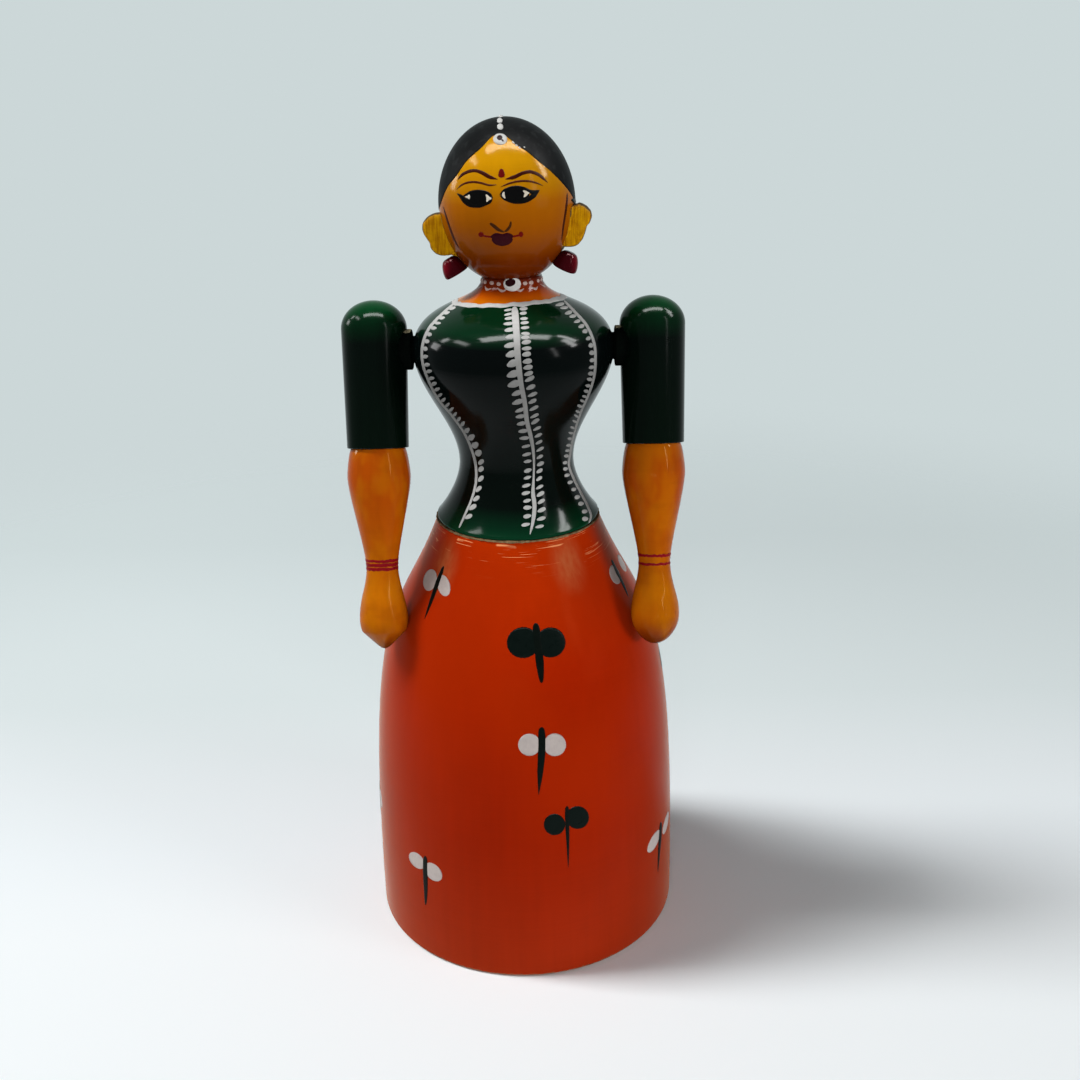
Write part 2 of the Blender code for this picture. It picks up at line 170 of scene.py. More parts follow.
def skin(name, bodies, turning=None):
    """Closed meshes from a grid of points (body, row, column). Columns close round, and the first
    and last rows are one point each. Faces are turned outwards by the sign of the volume."""
    count, rows, columns = bodies.shape[:3]
    inner = bodies[:, 1:-1].reshape(count, -1, 3)
    points = np.concatenate([bodies[:, :1, 0], inner, bodies[:, -1:, 0]], 1)
    here = np.arange(columns)
    after = np.roll(here, -1)
    row = 1 + columns * np.arange(rows - 3)[:, None]
    quads = np.stack([row + here, row + columns + here, row + columns + after, row + after], -1)
    quads = quads.reshape(-1, 4)
    last = 1 + columns * (rows - 3)
    top = np.stack([0 * here, 1 + here, 1 + after], -1)
    bottom = np.stack([last + after, last + here, 0 * here + last + columns], -1)
    corners = np.concatenate([top, bottom, quads[:, :3], quads[:, [0, 2, 3]]])
    a, b, c = np.moveaxis(points[:, corners], 2, 0)
    way = 1 if np.einsum("nij,nij", a, np.cross(b, c)) > 0 else -1
    shift = len(points[0]) * np.arange(count)[:, None, None]
    faces = (quads[:, ::way] + shift).reshape(-1, 4).tolist()
    faces += (np.concatenate([top, bottom])[:, ::way] + shift).reshape(-1, 3).tolist()
    piece = smooth_piece(name, points.reshape(-1, 3), faces)
    if turning is not None:
        own = np.concatenate([turning[:1, 0], turning[1:-1].reshape(-1, 3), turning[-1:, 0]])
        spots = piece.data.attributes.new("turning", "FLOAT_VECTOR", "POINT")
        spots.data.foreach_set("vector", own.ravel())
    return piece


def turned(name, outline, place=UPRIGHT, columns=224):
    """A piece off the lathe: its (radius, height) outline carried round the axis. The attribute
    "turning" keeps each point's place on its own axis."""
    radius, height = outline.T[..., None]
    own = round_axis(radius, whole_turn(columns), height)
    return skin(name, placed(own, place)[None], own)


def node(tree, kind, inputs, **settings):
    """One shader node, with its sockets linked or set by name or number."""
    made = tree.nodes.new("ShaderNode" + kind)
    for setting, value in settings.items():
        setattr(made, setting, value)
    for socket, value in inputs.items():
        if isinstance(value, bpy.types.NodeSocket):
            tree.links.new(value, made.inputs[socket])
        else:
            made.inputs[socket].default_value = value
    return made


def fed(kind, inputs, output=0, **settings):
    """An output of a new node, in the tree of the first socket that feeds it."""
    sockets = [value for value in inputs.values() if isinstance(value, bpy.types.NodeSocket)]
    return node(sockets[0].id_data, kind, inputs, **settings).outputs[output]


def reckoned(operation, *numbers):
    """A number worked out from others by one Math node."""
    return fed("Math", dict(enumerate(numbers)), operation=operation)


def whereabouts(tree, axis=None, turning=False):
    """Where on the object a point lies, or where on its own turned axis, or one coordinate."""
    if turning:
        spot = node(tree, "Attribute", {}, attribute_name="turning").outputs["Vector"]
    else:
        spot = node(tree, "TexCoord", {}).outputs["Object"]
    return spot if axis is None else fed("SeparateXYZ", {0: spot}, axis)


def noise(spot, stretch, detail=3):
    """Noise with its features per metre along each axis."""
    scaled = fed("Mapping", {"Vector": spot, "Scale": stretch})
    return fed("TexNoise", {"Vector": scaled, "Scale": 1, "Detail": detail})


def sway(base, *parts):
    """A base number plus each (noise, share), the noise counted from its middle."""
    for field, share in parts:
        base = reckoned("MULTIPLY_ADD", field, share, base)
        base = reckoned("SUBTRACT", base, share / 2)
    return base


def ramp(field, low, high, colours):
    """Colours along a number that runs from low to high: each is its share of the way, then red,
    green and blue. The two ends come first."""
    band = fed("ValToRGB", {0: fed("MapRange", {0: field, 1: low, 2: high})})
    stops = band.node.color_ramp.elements
    for index, (at, *colour) in enumerate(colours):
        stop = stops[index] if index < 2 else stops.new(at)
        stop.position = at
        stop.color = (*colour, 1)
    return band


def shaded(tone, colour):
    """A colour times a number."""
    return fed("VectorMath", {0: colour, "Scale": tone}, operation="SCALE")


def mixed(share, first, second):
    """Two colours mixed by a share of the second."""
    first, second = (c if isinstance(c, bpy.types.NodeSocket) else (*c, 1) for c in (first, second))
    return fed("Mix", {0: share, 6: first, 7: second}, 2, data_type="RGBA")


def over(field, edge, width):
    """A share that rises smoothly from 0 to 1 as a number passes an edge."""
    rising = {0: field, 1: edge - width / 2, 2: edge + width / 2}
    return fed("MapRange", rising, interpolation_type="SMOOTHSTEP")


def new_finish(name):
    """A new material, and its tree of nodes."""
    material = bpy.data.materials.new(name)
    material.use_nodes = True
    return material, material.node_tree


def set_finish(colour, roughness, relief, strength, depth, gloss, tint=(1, 1, 1)):
    """Links a colour, a roughness and a relief, some metres deep, to the shader. Gloss is the
    level of its specular, and tint the colour of that."""
    bump = fed("Bump", {"Strength": strength, "Distance": depth, "Height": relief})
    tree = colour.id_data
    inputs = tree.nodes["Principled BSDF"].inputs
    for socket, value in (("Base Color", colour), ("Roughness", roughness), ("Normal", bump)):
        tree.links.new(value, inputs[socket])
    inputs["Specular IOR Level"].default_value = gloss
    inputs["Specular Tint"].default_value = (*tint, 1)


def colour_so_far(material):
    """A material's tree, and the socket that gives its colour so far."""
    tree = material.node_tree
    return tree, tree.nodes["Principled BSDF"].inputs["Base Color"].links[0].from_socket


def recoloured(colour):
    """Links another colour to the shader of its tree."""
    tree = colour.id_data
    tree.links.new(colour, tree.nodes["Principled BSDF"].inputs["Base Color"])


def lac(name, low, high, colours, roughness, rings=0.10, streaks=0.16, clouds=0.2, gloss=0.1,
        tint=(1, 1, 1)):
    """Lac over turned wood: colours by height on the piece's own axis, swayed by rings from the
    tool, by streaks of grain along the axis and by soft clouds."""
    material, tree = new_finish(name)
    spot = whereabouts(tree, turning=True)
    ring, streak = noise(spot, (12, 12, 2200), 4), noise(spot, (420, 420, 14), 4)
    cloud, peel = noise(spot, (55, 55, 40), 2), noise(spot, (260, 260, 260), 2)
    tone = sway(1, (ring, rings), (streak, streaks), (cloud, clouds))
    colour = ramp(whereabouts(tree, 2, True), low, high, colours)
    rough = sway(roughness, (ring, 0.12), (cloud, 0.10))
    relief = sway(0.5, (ring, 0.7), (peel, 0.5), (streak, 0.12))
    set_finish(shaded(tone, colour), rough, relief, 0.35, 0.00004, gloss, tint)
    return material


def finished(piece, material, body="doll", node_name=None):
    """Gives a piece its material and the body that it moves with, and hides the imported part that
    it stands in for."""
    piece.data.materials.append(material)
    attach(piece, body)
    if node_name:
        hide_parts(node_name)


hip_run = HIP_RUN * SKIRT_HEIGHT
skirt_outside = curve(
    (SKIRT_TOP_RADIUS, SKIRT_HEIGHT),
    (SKIRT_TOP_RADIUS + hip_run * math.sin(HIP_SLOPE), SKIRT_HEIGHT - hip_run * math.cos(HIP_SLOPE)),
    (SKIRT_RADIUS, SKIRT_FULLNESS * SKIRT_HEIGHT),
    (SKIRT_RADIUS, FOOT_EDGE),
    150,
)
skirt_side = side_of(skirt_outside)
hole_radius, hole_depth = DOWEL_SPACE
hole_floor = SKIRT_HEIGHT - hole_depth
skirt_outline = np.concatenate([
    [(0, hole_floor), (hole_radius, hole_floor), (hole_radius, SKIRT_HEIGHT)],
    skirt_outside,
    rounded_edge(FOOT_EDGE, SKIRT_RADIUS, FOOT_EDGE, 0, -90, 8)[1:],
    [(FOOT_RING, 0), (0, 0)],
])
skirt_lac = lac(
    "skirt_lac", 0, SKIRT_HEIGHT,
    [(0, 0.255, 0.0165, 0.003), (1, 0.42, 0.026, 0.0004), (0.35, 0.245, 0.0095, 0.0008),
     (0.75, 0.325, 0.0128, 0.0003)],
    roughness=0.2, gloss=0.025, tint=(1, 0.5, 0.2),
)
tree, base = colour_so_far(skirt_lac)
for socket, value in (("Weight", 0.2), ("Roughness", 0.4), ("Tint", (1, 0.5, 0.15, 1))):
    tree.nodes["Principled BSDF"].inputs["Sheen " + socket].default_value = value
spot, height = whereabouts(tree), whereabouts(tree, 2, True)
pooled = over(noise(spot, (24, 24, 17), 1), 0.5, 0.3)
pooled = reckoned("MULTIPLY", pooled, over(height, POOL_Z, POOL_BLUR))
base = mixed(pooled, base, POOLED_LAC)
# painted highlights: paler, streaky lac in soft patches round the hips
painted_sheen = mixed(noise(spot, (600, 600, 60), 3), base, PAINTED_SHEEN_LAC)
for across, back, up in PAINTED_SHEEN_PATCHES:
    middle = (-across, -back, -up / 2)
    squashed = fed("Mapping", {"Vector": spot, "Location": middle, "Scale": (1, 1, 0.5)})
    away = fed("VectorMath", {0: squashed}, "Value", operation="LENGTH")
    base = mixed(over(away, PATCH_REACH, PATCH_BLUR), painted_sheen, base)
# painted glints: pale streaks like fine scratches, in patches near the top
glint_streaks = over(noise(spot, (70, 70, 3400), 2), 0.615, 0.05)
glint_patches = over(noise(spot, (110, 110, 190), 2), 0.52, 0.06)
for share in (glint_patches, over(height, GLINT_Z, GLINT_BLUR)):
    glint_streaks = reckoned("MULTIPLY", glint_streaks, share)
base = mixed(glint_streaks, base, GLINT_LAC)
fray = sway(WORN_Z, (noise(spot, (700, 700, 700), 3), 2 * WORN_Z))
worn = reckoned("GREATER_THAN", fray, height)
recoloured(mixed(worn, base, WORN_LAC))
finished(turned("skirt_block", skirt_outline, columns=256), skirt_lac, "doll", "skirt")


# Flowers on the skirt
# Each is two round dabs of a brush, white or blackish green, with a thin dark green stem
# between them. They are scattered all round the skirt.
LENS = 12  # points round a brush mark's section
SINK = 0.00004  # the underside of paint lies this far inside the piece
PAINT = 0.00007  # usual thickness of a brush mark
PACES = 120  # most steps of the walk along a line of sight
PACES_ACROSS = 40  # how many of them it takes to the axis
HALVINGS = 14


def seen(side, pixels):
    """Angle and height at which the camera sees a turned side in each pixel. The line of sight is
    walked inwards from the side's widest cylinder to the first point inside the piece, then
    halved onto the side. A line that misses keeps the point where it passes closest."""
    spin = side.place[:3, :3]
    start = (EYE - side.place[:3, 3]) @ spin
    aim = sight(np.asarray(pixels, float)) @ spin
    flat = (aim[..., :2] ** 2).sum(-1)
    toward = (aim[..., :2] * start[:2]).sum(-1)
    widest = side.radius.max()
    inside = np.maximum(toward**2 - flat * ((start[:2] ** 2).sum() - widest**2), 0)
    reach = (-toward - np.sqrt(inside)) / flat
    pace = widest / PACES_ACROSS

    def gap(along):
        """How far outside the side the line of sight is, at a distance along it."""
        spot = start + along[..., None] * aim
        return np.hypot(spot[..., 0], spot[..., 1]) - np.interp(spot[..., 2], side.height, side.radius)

    best, least = reach, gap(reach)
    for step in range(1, PACES):
        along = reach + step * pace
        now = gap(along)
        closer = (least > 0) & (now < least)
        best, least = np.where(closer, along, best), np.where(closer, now, least)
    near, far = best - pace, best
    for _ in range(HALVINGS):
        middle = (near + far) / 2
        hit = gap(middle) <= 0
        near, far = np.where(hit, near, middle), np.where(hit, middle, far)
    spot = start + far[..., None] * aim
    return np.arctan2(spot[..., 1], spot[..., 0]), spot[..., 2]


def laid(side, angle, height, lift):
    """Points at a lift above a turned side: radius and height moved along the side's normal, then
    carried round the axis by the angle."""
    radius = np.interp(height, side.height, side.radius) + lift * np.interp(height, side.height, side.out)
    level = height + lift * np.interp(height, side.height, side.up)
    return placed(round_axis(radius, angle, level), side.place)


def section(lift):
    """A brush mark's section: a low dome, up as the root of the sine, with its flat underside in
    the wood. Gives the angles round the section and the height at each."""
    phase = whole_turn(LENS)
    return phase, lift * np.sqrt(np.maximum(np.sin(phase), 0)) + SINK * np.minimum(np.sin(phase), 0)


def painted(name, side, marks, material, lift=PAINT, spot=seen):
    """Brush marks on a turned side, from their paths and full widths: across the path, a mark's
    section goes as the cosine of the angle round it."""
    paths, widths = (np.asarray(part, float) for part in marks)
    along = unit(np.gradient(paths, axis=1))
    across = np.stack([-along[..., 1], along[..., 0]], -1)[:, :, None]
    phase, dome = section(lift)
    spread = np.cos(phase)[:, None] / 2 * widths[..., None, None]
    full = np.sqrt(widths / widths.max(axis=1, keepdims=True))[..., None]
    angle, height = spot(side, paths[:, :, None] + spread * across)
    finished(skin(name, laid(side, angle, height, dome * full)), material)


def way_along(points):
    """The way along a path to each of its points: the sum of the steps so far."""
    return np.concatenate([[0], np.cumsum(np.hypot(*np.diff(points, axis=0).T))])


def through(points, count=28):
    """A smooth path through given points: Hermite pieces whose slopes are taken between each
    point's neighbours, with stations closer together near both ends."""
    points = np.asarray(points, float)
    reach = way_along(points)
    slope = np.gradient(points, reach, axis=0)
    at = reach[-1] * (1 - np.cos(np.linspace(0, np.pi, count))) / 2
    piece = np.clip(np.searchsorted(reach, at, side="right") - 1, 0, len(points) - 2)
    span = (reach[piece + 1] - reach[piece])[:, None]
    t = (at[:, None] - reach[piece][:, None]) / span
    ends = (2 * t**3 - 3 * t**2 + 1) * points[piece] + (3 * t**2 - 2 * t**3) * points[piece + 1]
    pulls = (t**3 - 2 * t**2 + t) * slope[piece] + (t**3 - t**2) * slope[piece + 1]
    return ends + span * pulls


def pressure(*widths, count=28, blunt=10):
    """Full width along a mark: widths spread evenly along it, times the root of one less a high
    power of the way from its middle, which rounds both ends."""
    way = -np.cos(np.linspace(0, np.pi, count))
    even = np.interp(way, np.linspace(-1, 1, len(widths)), widths)
    return even * np.sqrt(np.maximum(1 - np.abs(way) ** blunt, 0))


def dabs(centres, lengths, widths, angles, count=13):
    """Oval dabs: straight paths through their centres at an angle, as wide as an ellipse."""
    centres = np.atleast_2d(np.asarray(centres, float))
    lengths, widths, angles = (np.broadcast_to(v, len(centres)) for v in (lengths, widths, angles))
    phase = np.linspace(0, np.pi, count)
    way = np.stack([np.cos(angles), -np.sin(angles)], -1)[:, None]
    paths = centres[:, None] - np.cos(phase)[:, None] * way * lengths[:, None, None] / 2
    return paths, widths[:, None] * np.sin(phase)


def wrapped(side, spots):
    """Angle and height of spots given in metres round the side's widest ring and up."""
    return spots[..., 0] / side.radius.max() - np.pi / 2, spots[..., 1]


def paint(name, colour, roughness=0.3, patchy=0.35, gloss=0.05):
    """Brush paint: its colour thins in patches and streaks, over a slightly rough face."""
    material, tree = new_finish(name)
    spot = whereabouts(tree)
    thin = noise(spot, (600, 600, 600), 4)
    drag = noise(spot, (2600, 2600, 500), 2)
    tone = sway(1, (thin, patchy), (drag, patchy / 2))
    rough, relief = sway(roughness, (thin, 0.2)), sway(0.5, (drag, 1), (thin, 1))
    set_finish(shaded(tone, colour), rough, relief, 0.4, 0.00003, gloss)
    return material


def strokes(name, side, marks, material, lift=PAINT):
    """Brush strokes, each a given path with its widths, in pixels."""
    paths = [through(points) for points, _ in marks]
    painted(name, side, (paths, [pressure(*pressed) for _, pressed in marks]), material, lift)


white_paint = paint("white_paint", (0.55, 0.55, 0.535), 0.45, 0.3)
petal_paint = paint("petal_paint", (0.40, 0.35, 0.33), 0.35, 0.3)
black_paint = paint("black_paint", (0.002, 0.005, 0.004))
stem_paint = paint("stem_paint", (0.002, 0.004, 0.003))
STEM_LIFT = PAINT * 1.4

# petals are (centre, length, width, angle in degrees) in pixels
white_petals = [
    ((430.0, 580.0), 22, 13.5, 78), ((443.6, 585.5), 22, 13.0, -75),
    ((529.4, 744.8), 22.5, 22.5, 0), ((554.8, 744.8), 22.5, 23, 0),
    ((416.8, 860.5), 20, 12, -50), ((433.2, 872.0), 22, 14, -48),
]
dark_petals = [
    ((523.2, 642.6), 33, 31.5, 5), ((550.6, 642.4), 30, 30.5, -5),
    ((554.5, 824.5), 21.5, 21.5, 0), ((577.6, 817.5), 23, 23, 15),
]
stems = [
    ([(443.6, 566), (438.5, 580), (430, 604), (424.5, 619)], (3.0, 4.6, 3.4, 1.0)),
    ([(611.5, 559.5), (616, 570), (623.5, 585), (628.5, 597)], (2.2, 3.4, 2.4, 0.8)),
    ([(535.6, 623), (537.5, 642), (540, 664), (541.6, 683)], (7.5, 8.0, 8.2, 4.5)),
    ([(541.6, 727), (541.8, 748), (540.4, 770), (538.6, 795)], (7.5, 8.0, 6.0, 1.0)),
    ([(567.0, 806), (567.4, 828), (568, 848), (568.2, 868)], (5.0, 4.2, 2.6, 0.8)),
    ([(425.0, 856), (425.3, 872), (425.8, 890), (425.7, 905)], (4.6, 5.0, 4.0, 2.2)),
    ([(661.0, 822), (660.0, 838), (658.8, 856), (657.8, 872)], (2.6, 3.0, 2.0, 0.8)),
]


def petals(name, marks, material):
    """Petals in front, from rows of centre, length, width and angle."""
    centres, lengths, widths, angles = (np.array(part, float) for part in zip(*marks))
    painted(name, skirt_side, dabs(centres, lengths, widths, np.radians(angles)), material)


petals("front_white_petals", white_petals, petal_paint)
petals("front_dark_petals", dark_petals, black_paint)
strokes("front_stems", skirt_side, stems, stem_paint, STEM_LIFT)

# petals near the edge of the view: degrees round from the front, height, size round and up, lean
edge_petals = [(65.5, 0.1222, 0.0098, 0.0054, 0), (83, 0.1220, 0.0094, 0.0052, 0),
               (57.5, 0.0334, 0.0092, 0.0057, -13), (70.5, 0.0334, 0.0090, 0.0055, -13)]
round_deg, height, long, tall, lean = np.array(edge_petals).T
centres = np.stack([np.radians(round_deg) * SKIRT_RADIUS, height], -1)
edge_marks = dabs(centres, long, tall, np.radians(lean))
painted("side_white_petals", skirt_side, edge_marks, petal_paint, spot=wrapped)

# the flowers that the photograph doesn't see: degrees round from the front, height, lean
hidden_white = [(97, 0.043, 8), (128, 0.097, -10), (158, 0.052, 6), (192, 0.108, -6),
                (215, 0.032, 12), (238, 0.080, 0), (278, 0.042, -8)]
hidden_dark = [(92, 0.088, 0), (126, 0.022, -6), (165, 0.084, 5), (186, 0.024, 0),
               (212, 0.068, -5), (245, 0.028, 6), (264, 0.100, 8)]
PETAL_APART = 0.0042
PETAL_TILT = 0.25
STEM_START = -0.36  # above the petals' middle, as a share of the drop below it
STEM_DROP = 0.0125


def scattered(name, flowers, long, wide, material):
    """Two petals either side of each stem, then the stems, laid out in metres round the skirt."""
    round_deg, height, lean = np.array(flowers, float).T
    lean = np.radians(lean)
    centre = np.stack([np.radians(round_deg) * SKIRT_RADIUS, height], -1)
    aside = np.stack([np.cos(lean), np.sin(lean)], -1) * PETAL_APART
    both = np.concatenate([centre - aside, centre + aside])
    angles = np.concatenate([PETAL_TILT - lean, -PETAL_TILT - lean])
    painted(name + "_petals", skirt_side, dabs(both, long, wide, angles), material, spot=wrapped)
    drop = np.stack([np.sin(lean), -np.cos(lean)], -1)
    way = np.linspace(STEM_START, 1, 28)[:, None]
    paths = centre[:, None] + way * drop[:, None] * STEM_DROP
    widths = np.broadcast_to(pressure(0.0016, 0.0018, 0.0014, 0.0004), (len(flowers), 28))
    painted(name + "_stems", skirt_side, (paths, widths), stem_paint, STEM_LIFT, wrapped)


scattered("back_white", hidden_white, 0.0066, 0.0062, petal_paint)
scattered("back_dark", hidden_dark, 0.0076, 0.0080, black_paint)


# Blouse and neck
# One turned piece: bottle-green lac up to the neckline, then orange lac that reddens up the neck. Its
# darkest band, just under the chin, is painted shade.
WAIST_GAP = 0.0003
HEM_Z = SKIRT_HEIGHT + WAIST_GAP
HEM_RADIUS = 0.0250
HEM_BAND = 0.0012
WAIST_RADIUS = 0.0175
WAIST_Z = HEM_Z + 0.0182
BUST_RADIUS = 0.0298
SHOULDER_Z = WAIST_Z + 0.0340
NECK_RADIUS = 0.0088
NECK_TOP_Z = SHOULDER_Z + 0.0213
NECKLINE_Z = 0.20492
NECKLINE_SLANT = 0.028  # the neckline climbs towards the doll's left
NECKLINE_LEAN = 0.055  # and dips at the back
HEM_HOLD, WAIST_HOLD, BUST_HOLD, SHOULDER_HOLD, NECK_HOLD = 0.45, 0.36, 0.33, 0.69, 0.40


def bulge(top_radius, top, bottom_radius, bottom, top_hold, bottom_hold, steps=48):
    """A side that stays upright at both ends for a share of its height: a cubic curve."""
    rise = top - bottom
    return curve(
        (top_radius, top),
        (top_radius, top - top_hold * rise),
        (bottom_radius, bottom + bottom_hold * rise),
        (bottom_radius, bottom),
        steps,
    )


band_top = HEM_Z + HEM_BAND
torso_outside = np.concatenate([
    bulge(NECK_RADIUS, NECK_TOP_Z, BUST_RADIUS, SHOULDER_Z, NECK_HOLD, SHOULDER_HOLD, 70),
    bulge(BUST_RADIUS, SHOULDER_Z, WAIST_RADIUS, WAIST_Z, BUST_HOLD, WAIST_HOLD, 60)[1:],
    curve(
        (WAIST_RADIUS, WAIST_Z),
        (WAIST_RADIUS, WAIST_Z - HEM_HOLD * (WAIST_Z - band_top)),
        (HEM_RADIUS - HEM_BAND, band_top + HEM_BAND),
        (HEM_RADIUS, band_top),
    )[1:],
    [(HEM_RADIUS, HEM_Z + HEM_BAND / 2)],
])
torso_side = side_of(torso_outside)
torso_outline = np.concatenate([
    [(0, NECK_TOP_Z)],
    torso_outside,
    rounded_edge(HEM_BAND / 2, HEM_RADIUS, HEM_Z + HEM_BAND / 2, 0, -90, 6)[1:],
    [(hole_radius, HEM_Z), (hole_radius, HEM_Z + hole_depth), (0, HEM_Z + hole_depth)],
])
# painted light and shade: near black where the blouse turns down, brighter green where it faces up on the
# hem's flare and the bust's top
blouse_lac = lac(
    "blouse_lac", HEM_Z, SHOULDER_Z + 0.012,
    [(0, 0.001, 0.034, 0.012), (1, 0.001, 0.020, 0.006), (0.05, 0.001, 0.018, 0.007),
     (0.13, 0.001, 0.003, 0.002), (0.895, 0.001, 0.002, 0.002), (0.95, 0.001, 0.022, 0.007)],
    roughness=0.12, gloss=0.07,
)
tree, green = colour_so_far(blouse_lac)
height = whereabouts(tree, 2, True)
# the dark band at the top of the neck is painted shade under the chin
orange = ramp(
    height, NECKLINE_Z - 0.001, NECK_TOP_Z,
    [(0, 0.62, 0.26, 0.003), (1, 0.080, 0.008, 0.002), (0.18, 0.60, 0.17, 0.002),
     (0.42, 0.52, 0.085, 0.001), (0.64, 0.20, 0.020, 0.001)],
)
line = reckoned("MULTIPLY_ADD", whereabouts(tree, 0), NECKLINE_SLANT, NECKLINE_Z)
line = reckoned("MULTIPLY_ADD", whereabouts(tree, 1), -NECKLINE_LEAN, line)
above = over(reckoned("SUBTRACT", height, line), 0, 0.0003)
recoloured(mixed(above, green, orange))
finished(turned("blouse_and_neck", torso_outline), blouse_lac, "doll", "torso")


# Hem seam
# Lac and glue squeezed out where the blouse sits on the skirt, rubbed pale and uneven.
SEAM_THICKNESS = 0.00040
SEAM_SWAY = 0.00020
SEAM_INSET = 0.0001
SEAM_FLATNESS = 0.8


def hoop(name, rings):
    """A closed ring from a grid of points (round, section), both ways closed."""
    around, across = rings.shape[:2]
    here, there = np.meshgrid(np.arange(around), np.arange(across), indexing="ij")
    ahead, beside = (here + 1) % around, (there + 1) % across
    pairs = ((here, there), (ahead, there), (ahead, beside), (here, beside))
    faces = np.stack([at * across + way for at, way in pairs], -1).reshape(-1, 4)
    return smooth_piece(name, rings.reshape(-1, 3), faces.tolist())


def uneven(angle, seed, waves=9):
    """A smooth wobble round a ring, from -1 to 1: whole waves with chance sizes and starts."""
    chance = np.random.default_rng(seed)
    turns = np.arange(1, waves + 1)
    size, start = chance.normal(0, 1, waves) / np.sqrt(turns), chance.uniform(0, 2 * np.pi, waves)
    wobble = (size[:, None] * np.cos(turns[:, None] * 3 * angle + start[:, None])).sum(0)
    return wobble / np.abs(wobble).max()


angle, phase = whole_turn(320), whole_turn(10)  # round the doll, and round the seam's section
swell = SEAM_THICKNESS + SEAM_SWAY * uneven(angle, 4, 40)[:, None]
seam_radius = SKIRT_TOP_RADIUS - SEAM_INSET + swell * np.cos(phase)
seam_height = HEM_Z - WAIST_GAP / 2 + swell * np.sin(phase) * SEAM_FLATNESS
seam = hoop("hem_seam", round_axis(seam_radius, angle[:, None], seam_height))
seam_glue = paint("seam_glue", (0.17, 0.11, 0.055), 0.6, 2.2, 0)
finished(seam, seam_glue)


# Neckline and vines on the blouse
# White lines brushed from the neckline to the hem, one in the middle with leaves on both sides
# and one on each flank with leaves on its inner side.
WOBBLE = 0.00012  # how far a hand-drawn ring strays up and down
NECKLINE_WIDTH, WIDTH_SWAY = 0.00085, 0.0002


def ribbon(name, side, height, width):
    """A painted line right round a turned side: at each angle a low dome across its height."""
    phase, dome = section(PAINT)
    spread = height[:, None] - np.cos(phase) * width[:, None] / 2
    return hoop(name, laid(side, angle[:, None] + 0 * phase, spread, dome[None, :]))


neck_radius = np.interp(NECKLINE_Z, torso_side.height, torso_side.radius)
neckline = NECKLINE_Z + neck_radius * (NECKLINE_SLANT * np.cos(angle) - NECKLINE_LEAN * np.sin(angle))
neckline += WOBBLE * uneven(angle, 2)
neckline_width = NECKLINE_WIDTH + WIDTH_SWAY * uneven(angle, 7)
finished(ribbon("neckline", torso_side, neckline, neckline_width), white_paint)

middle_vine = [(514.5, 306.5), (516.5, 333), (518, 360), (520.7, 382), (525, 405), (527, 422),
               (530.6, 436), (533, 449), (534, 461), (533.6, 478), (533, 493), (534.5, 505),
               (533.2, 520), (530, 534.5)]
right_flank = [(454.5, 303), (441, 315), (428, 330), (422, 349), (423, 365), (429, 382), (438, 399),
               (452, 416), (465, 434.5), (471, 448), (475.5, 464), (476, 481), (472, 498),
               (465, 514.5), (459, 528)]
left_flank = [(564, 300.5), (575, 312), (587, 326), (594, 343), (595.5, 360), (594, 377),
              (589, 393.5), (581, 412), (574, 434.5), (570.6, 451.5), (569, 465), (574, 479),
              (581.5, 494), (588, 507), (591, 516), (589, 523)]
vine_white = paint("vine_white", (0.55, 0.55, 0.535), 0.45, 0.3)
tree, base = colour_so_far(vine_white)
VINE_FOOT, VINE_TOP = 0.138, 0.206
# painted shade: the white is darker where the blouse turns down under the bust
painted_shade = ((0, 0.75), (1, 1), (0.14, 0.85), (0.235, 0.76), (0.32, 0.44), (0.42, 0.35), (0.72, 0.34),
           (0.81, 0.48), (0.88, 0.64), (0.94, 0.98))  # share of the way up, then how bright the white stays
painted_shade = [(at, tone, tone, tone) for at, tone in painted_shade]
painted_shade = ramp(whereabouts(tree, 2), VINE_FOOT, VINE_TOP, painted_shade)
recoloured(fed("VectorMath", {0: base, 1: painted_shade}, operation="MULTIPLY"))
LINE_COUNT = 120
LINE_ENDS = 40  # a high power, so that the lines keep their width up to the ends
lines = [through(points, LINE_COUNT) for points in (middle_vine, right_flank, left_flank)]
pressed = [
    pressure(*widths, count=LINE_COUNT, blunt=LINE_ENDS) for widths in (
        (7.4, 7.0, 6.6, 6.0, 5.2, 4.8, 4.5, 4.0, 2.4, 2.0, 4.2, 4.0, 1.6),
        (2.6, 3.0, 2.8, 2.4, 2.2, 2.8, 2.4, 2.2),
        (2.6, 3.0, 2.8, 2.4, 2.0, 2.4, 2.4, 2.2),
    )
]
painted("vine_lines", torso_side, (lines, pressed), vine_white)
LEAF_START, LEAF_STOP = 0.6, 0.4  # shares of a spacing, before the first leaf and after the last


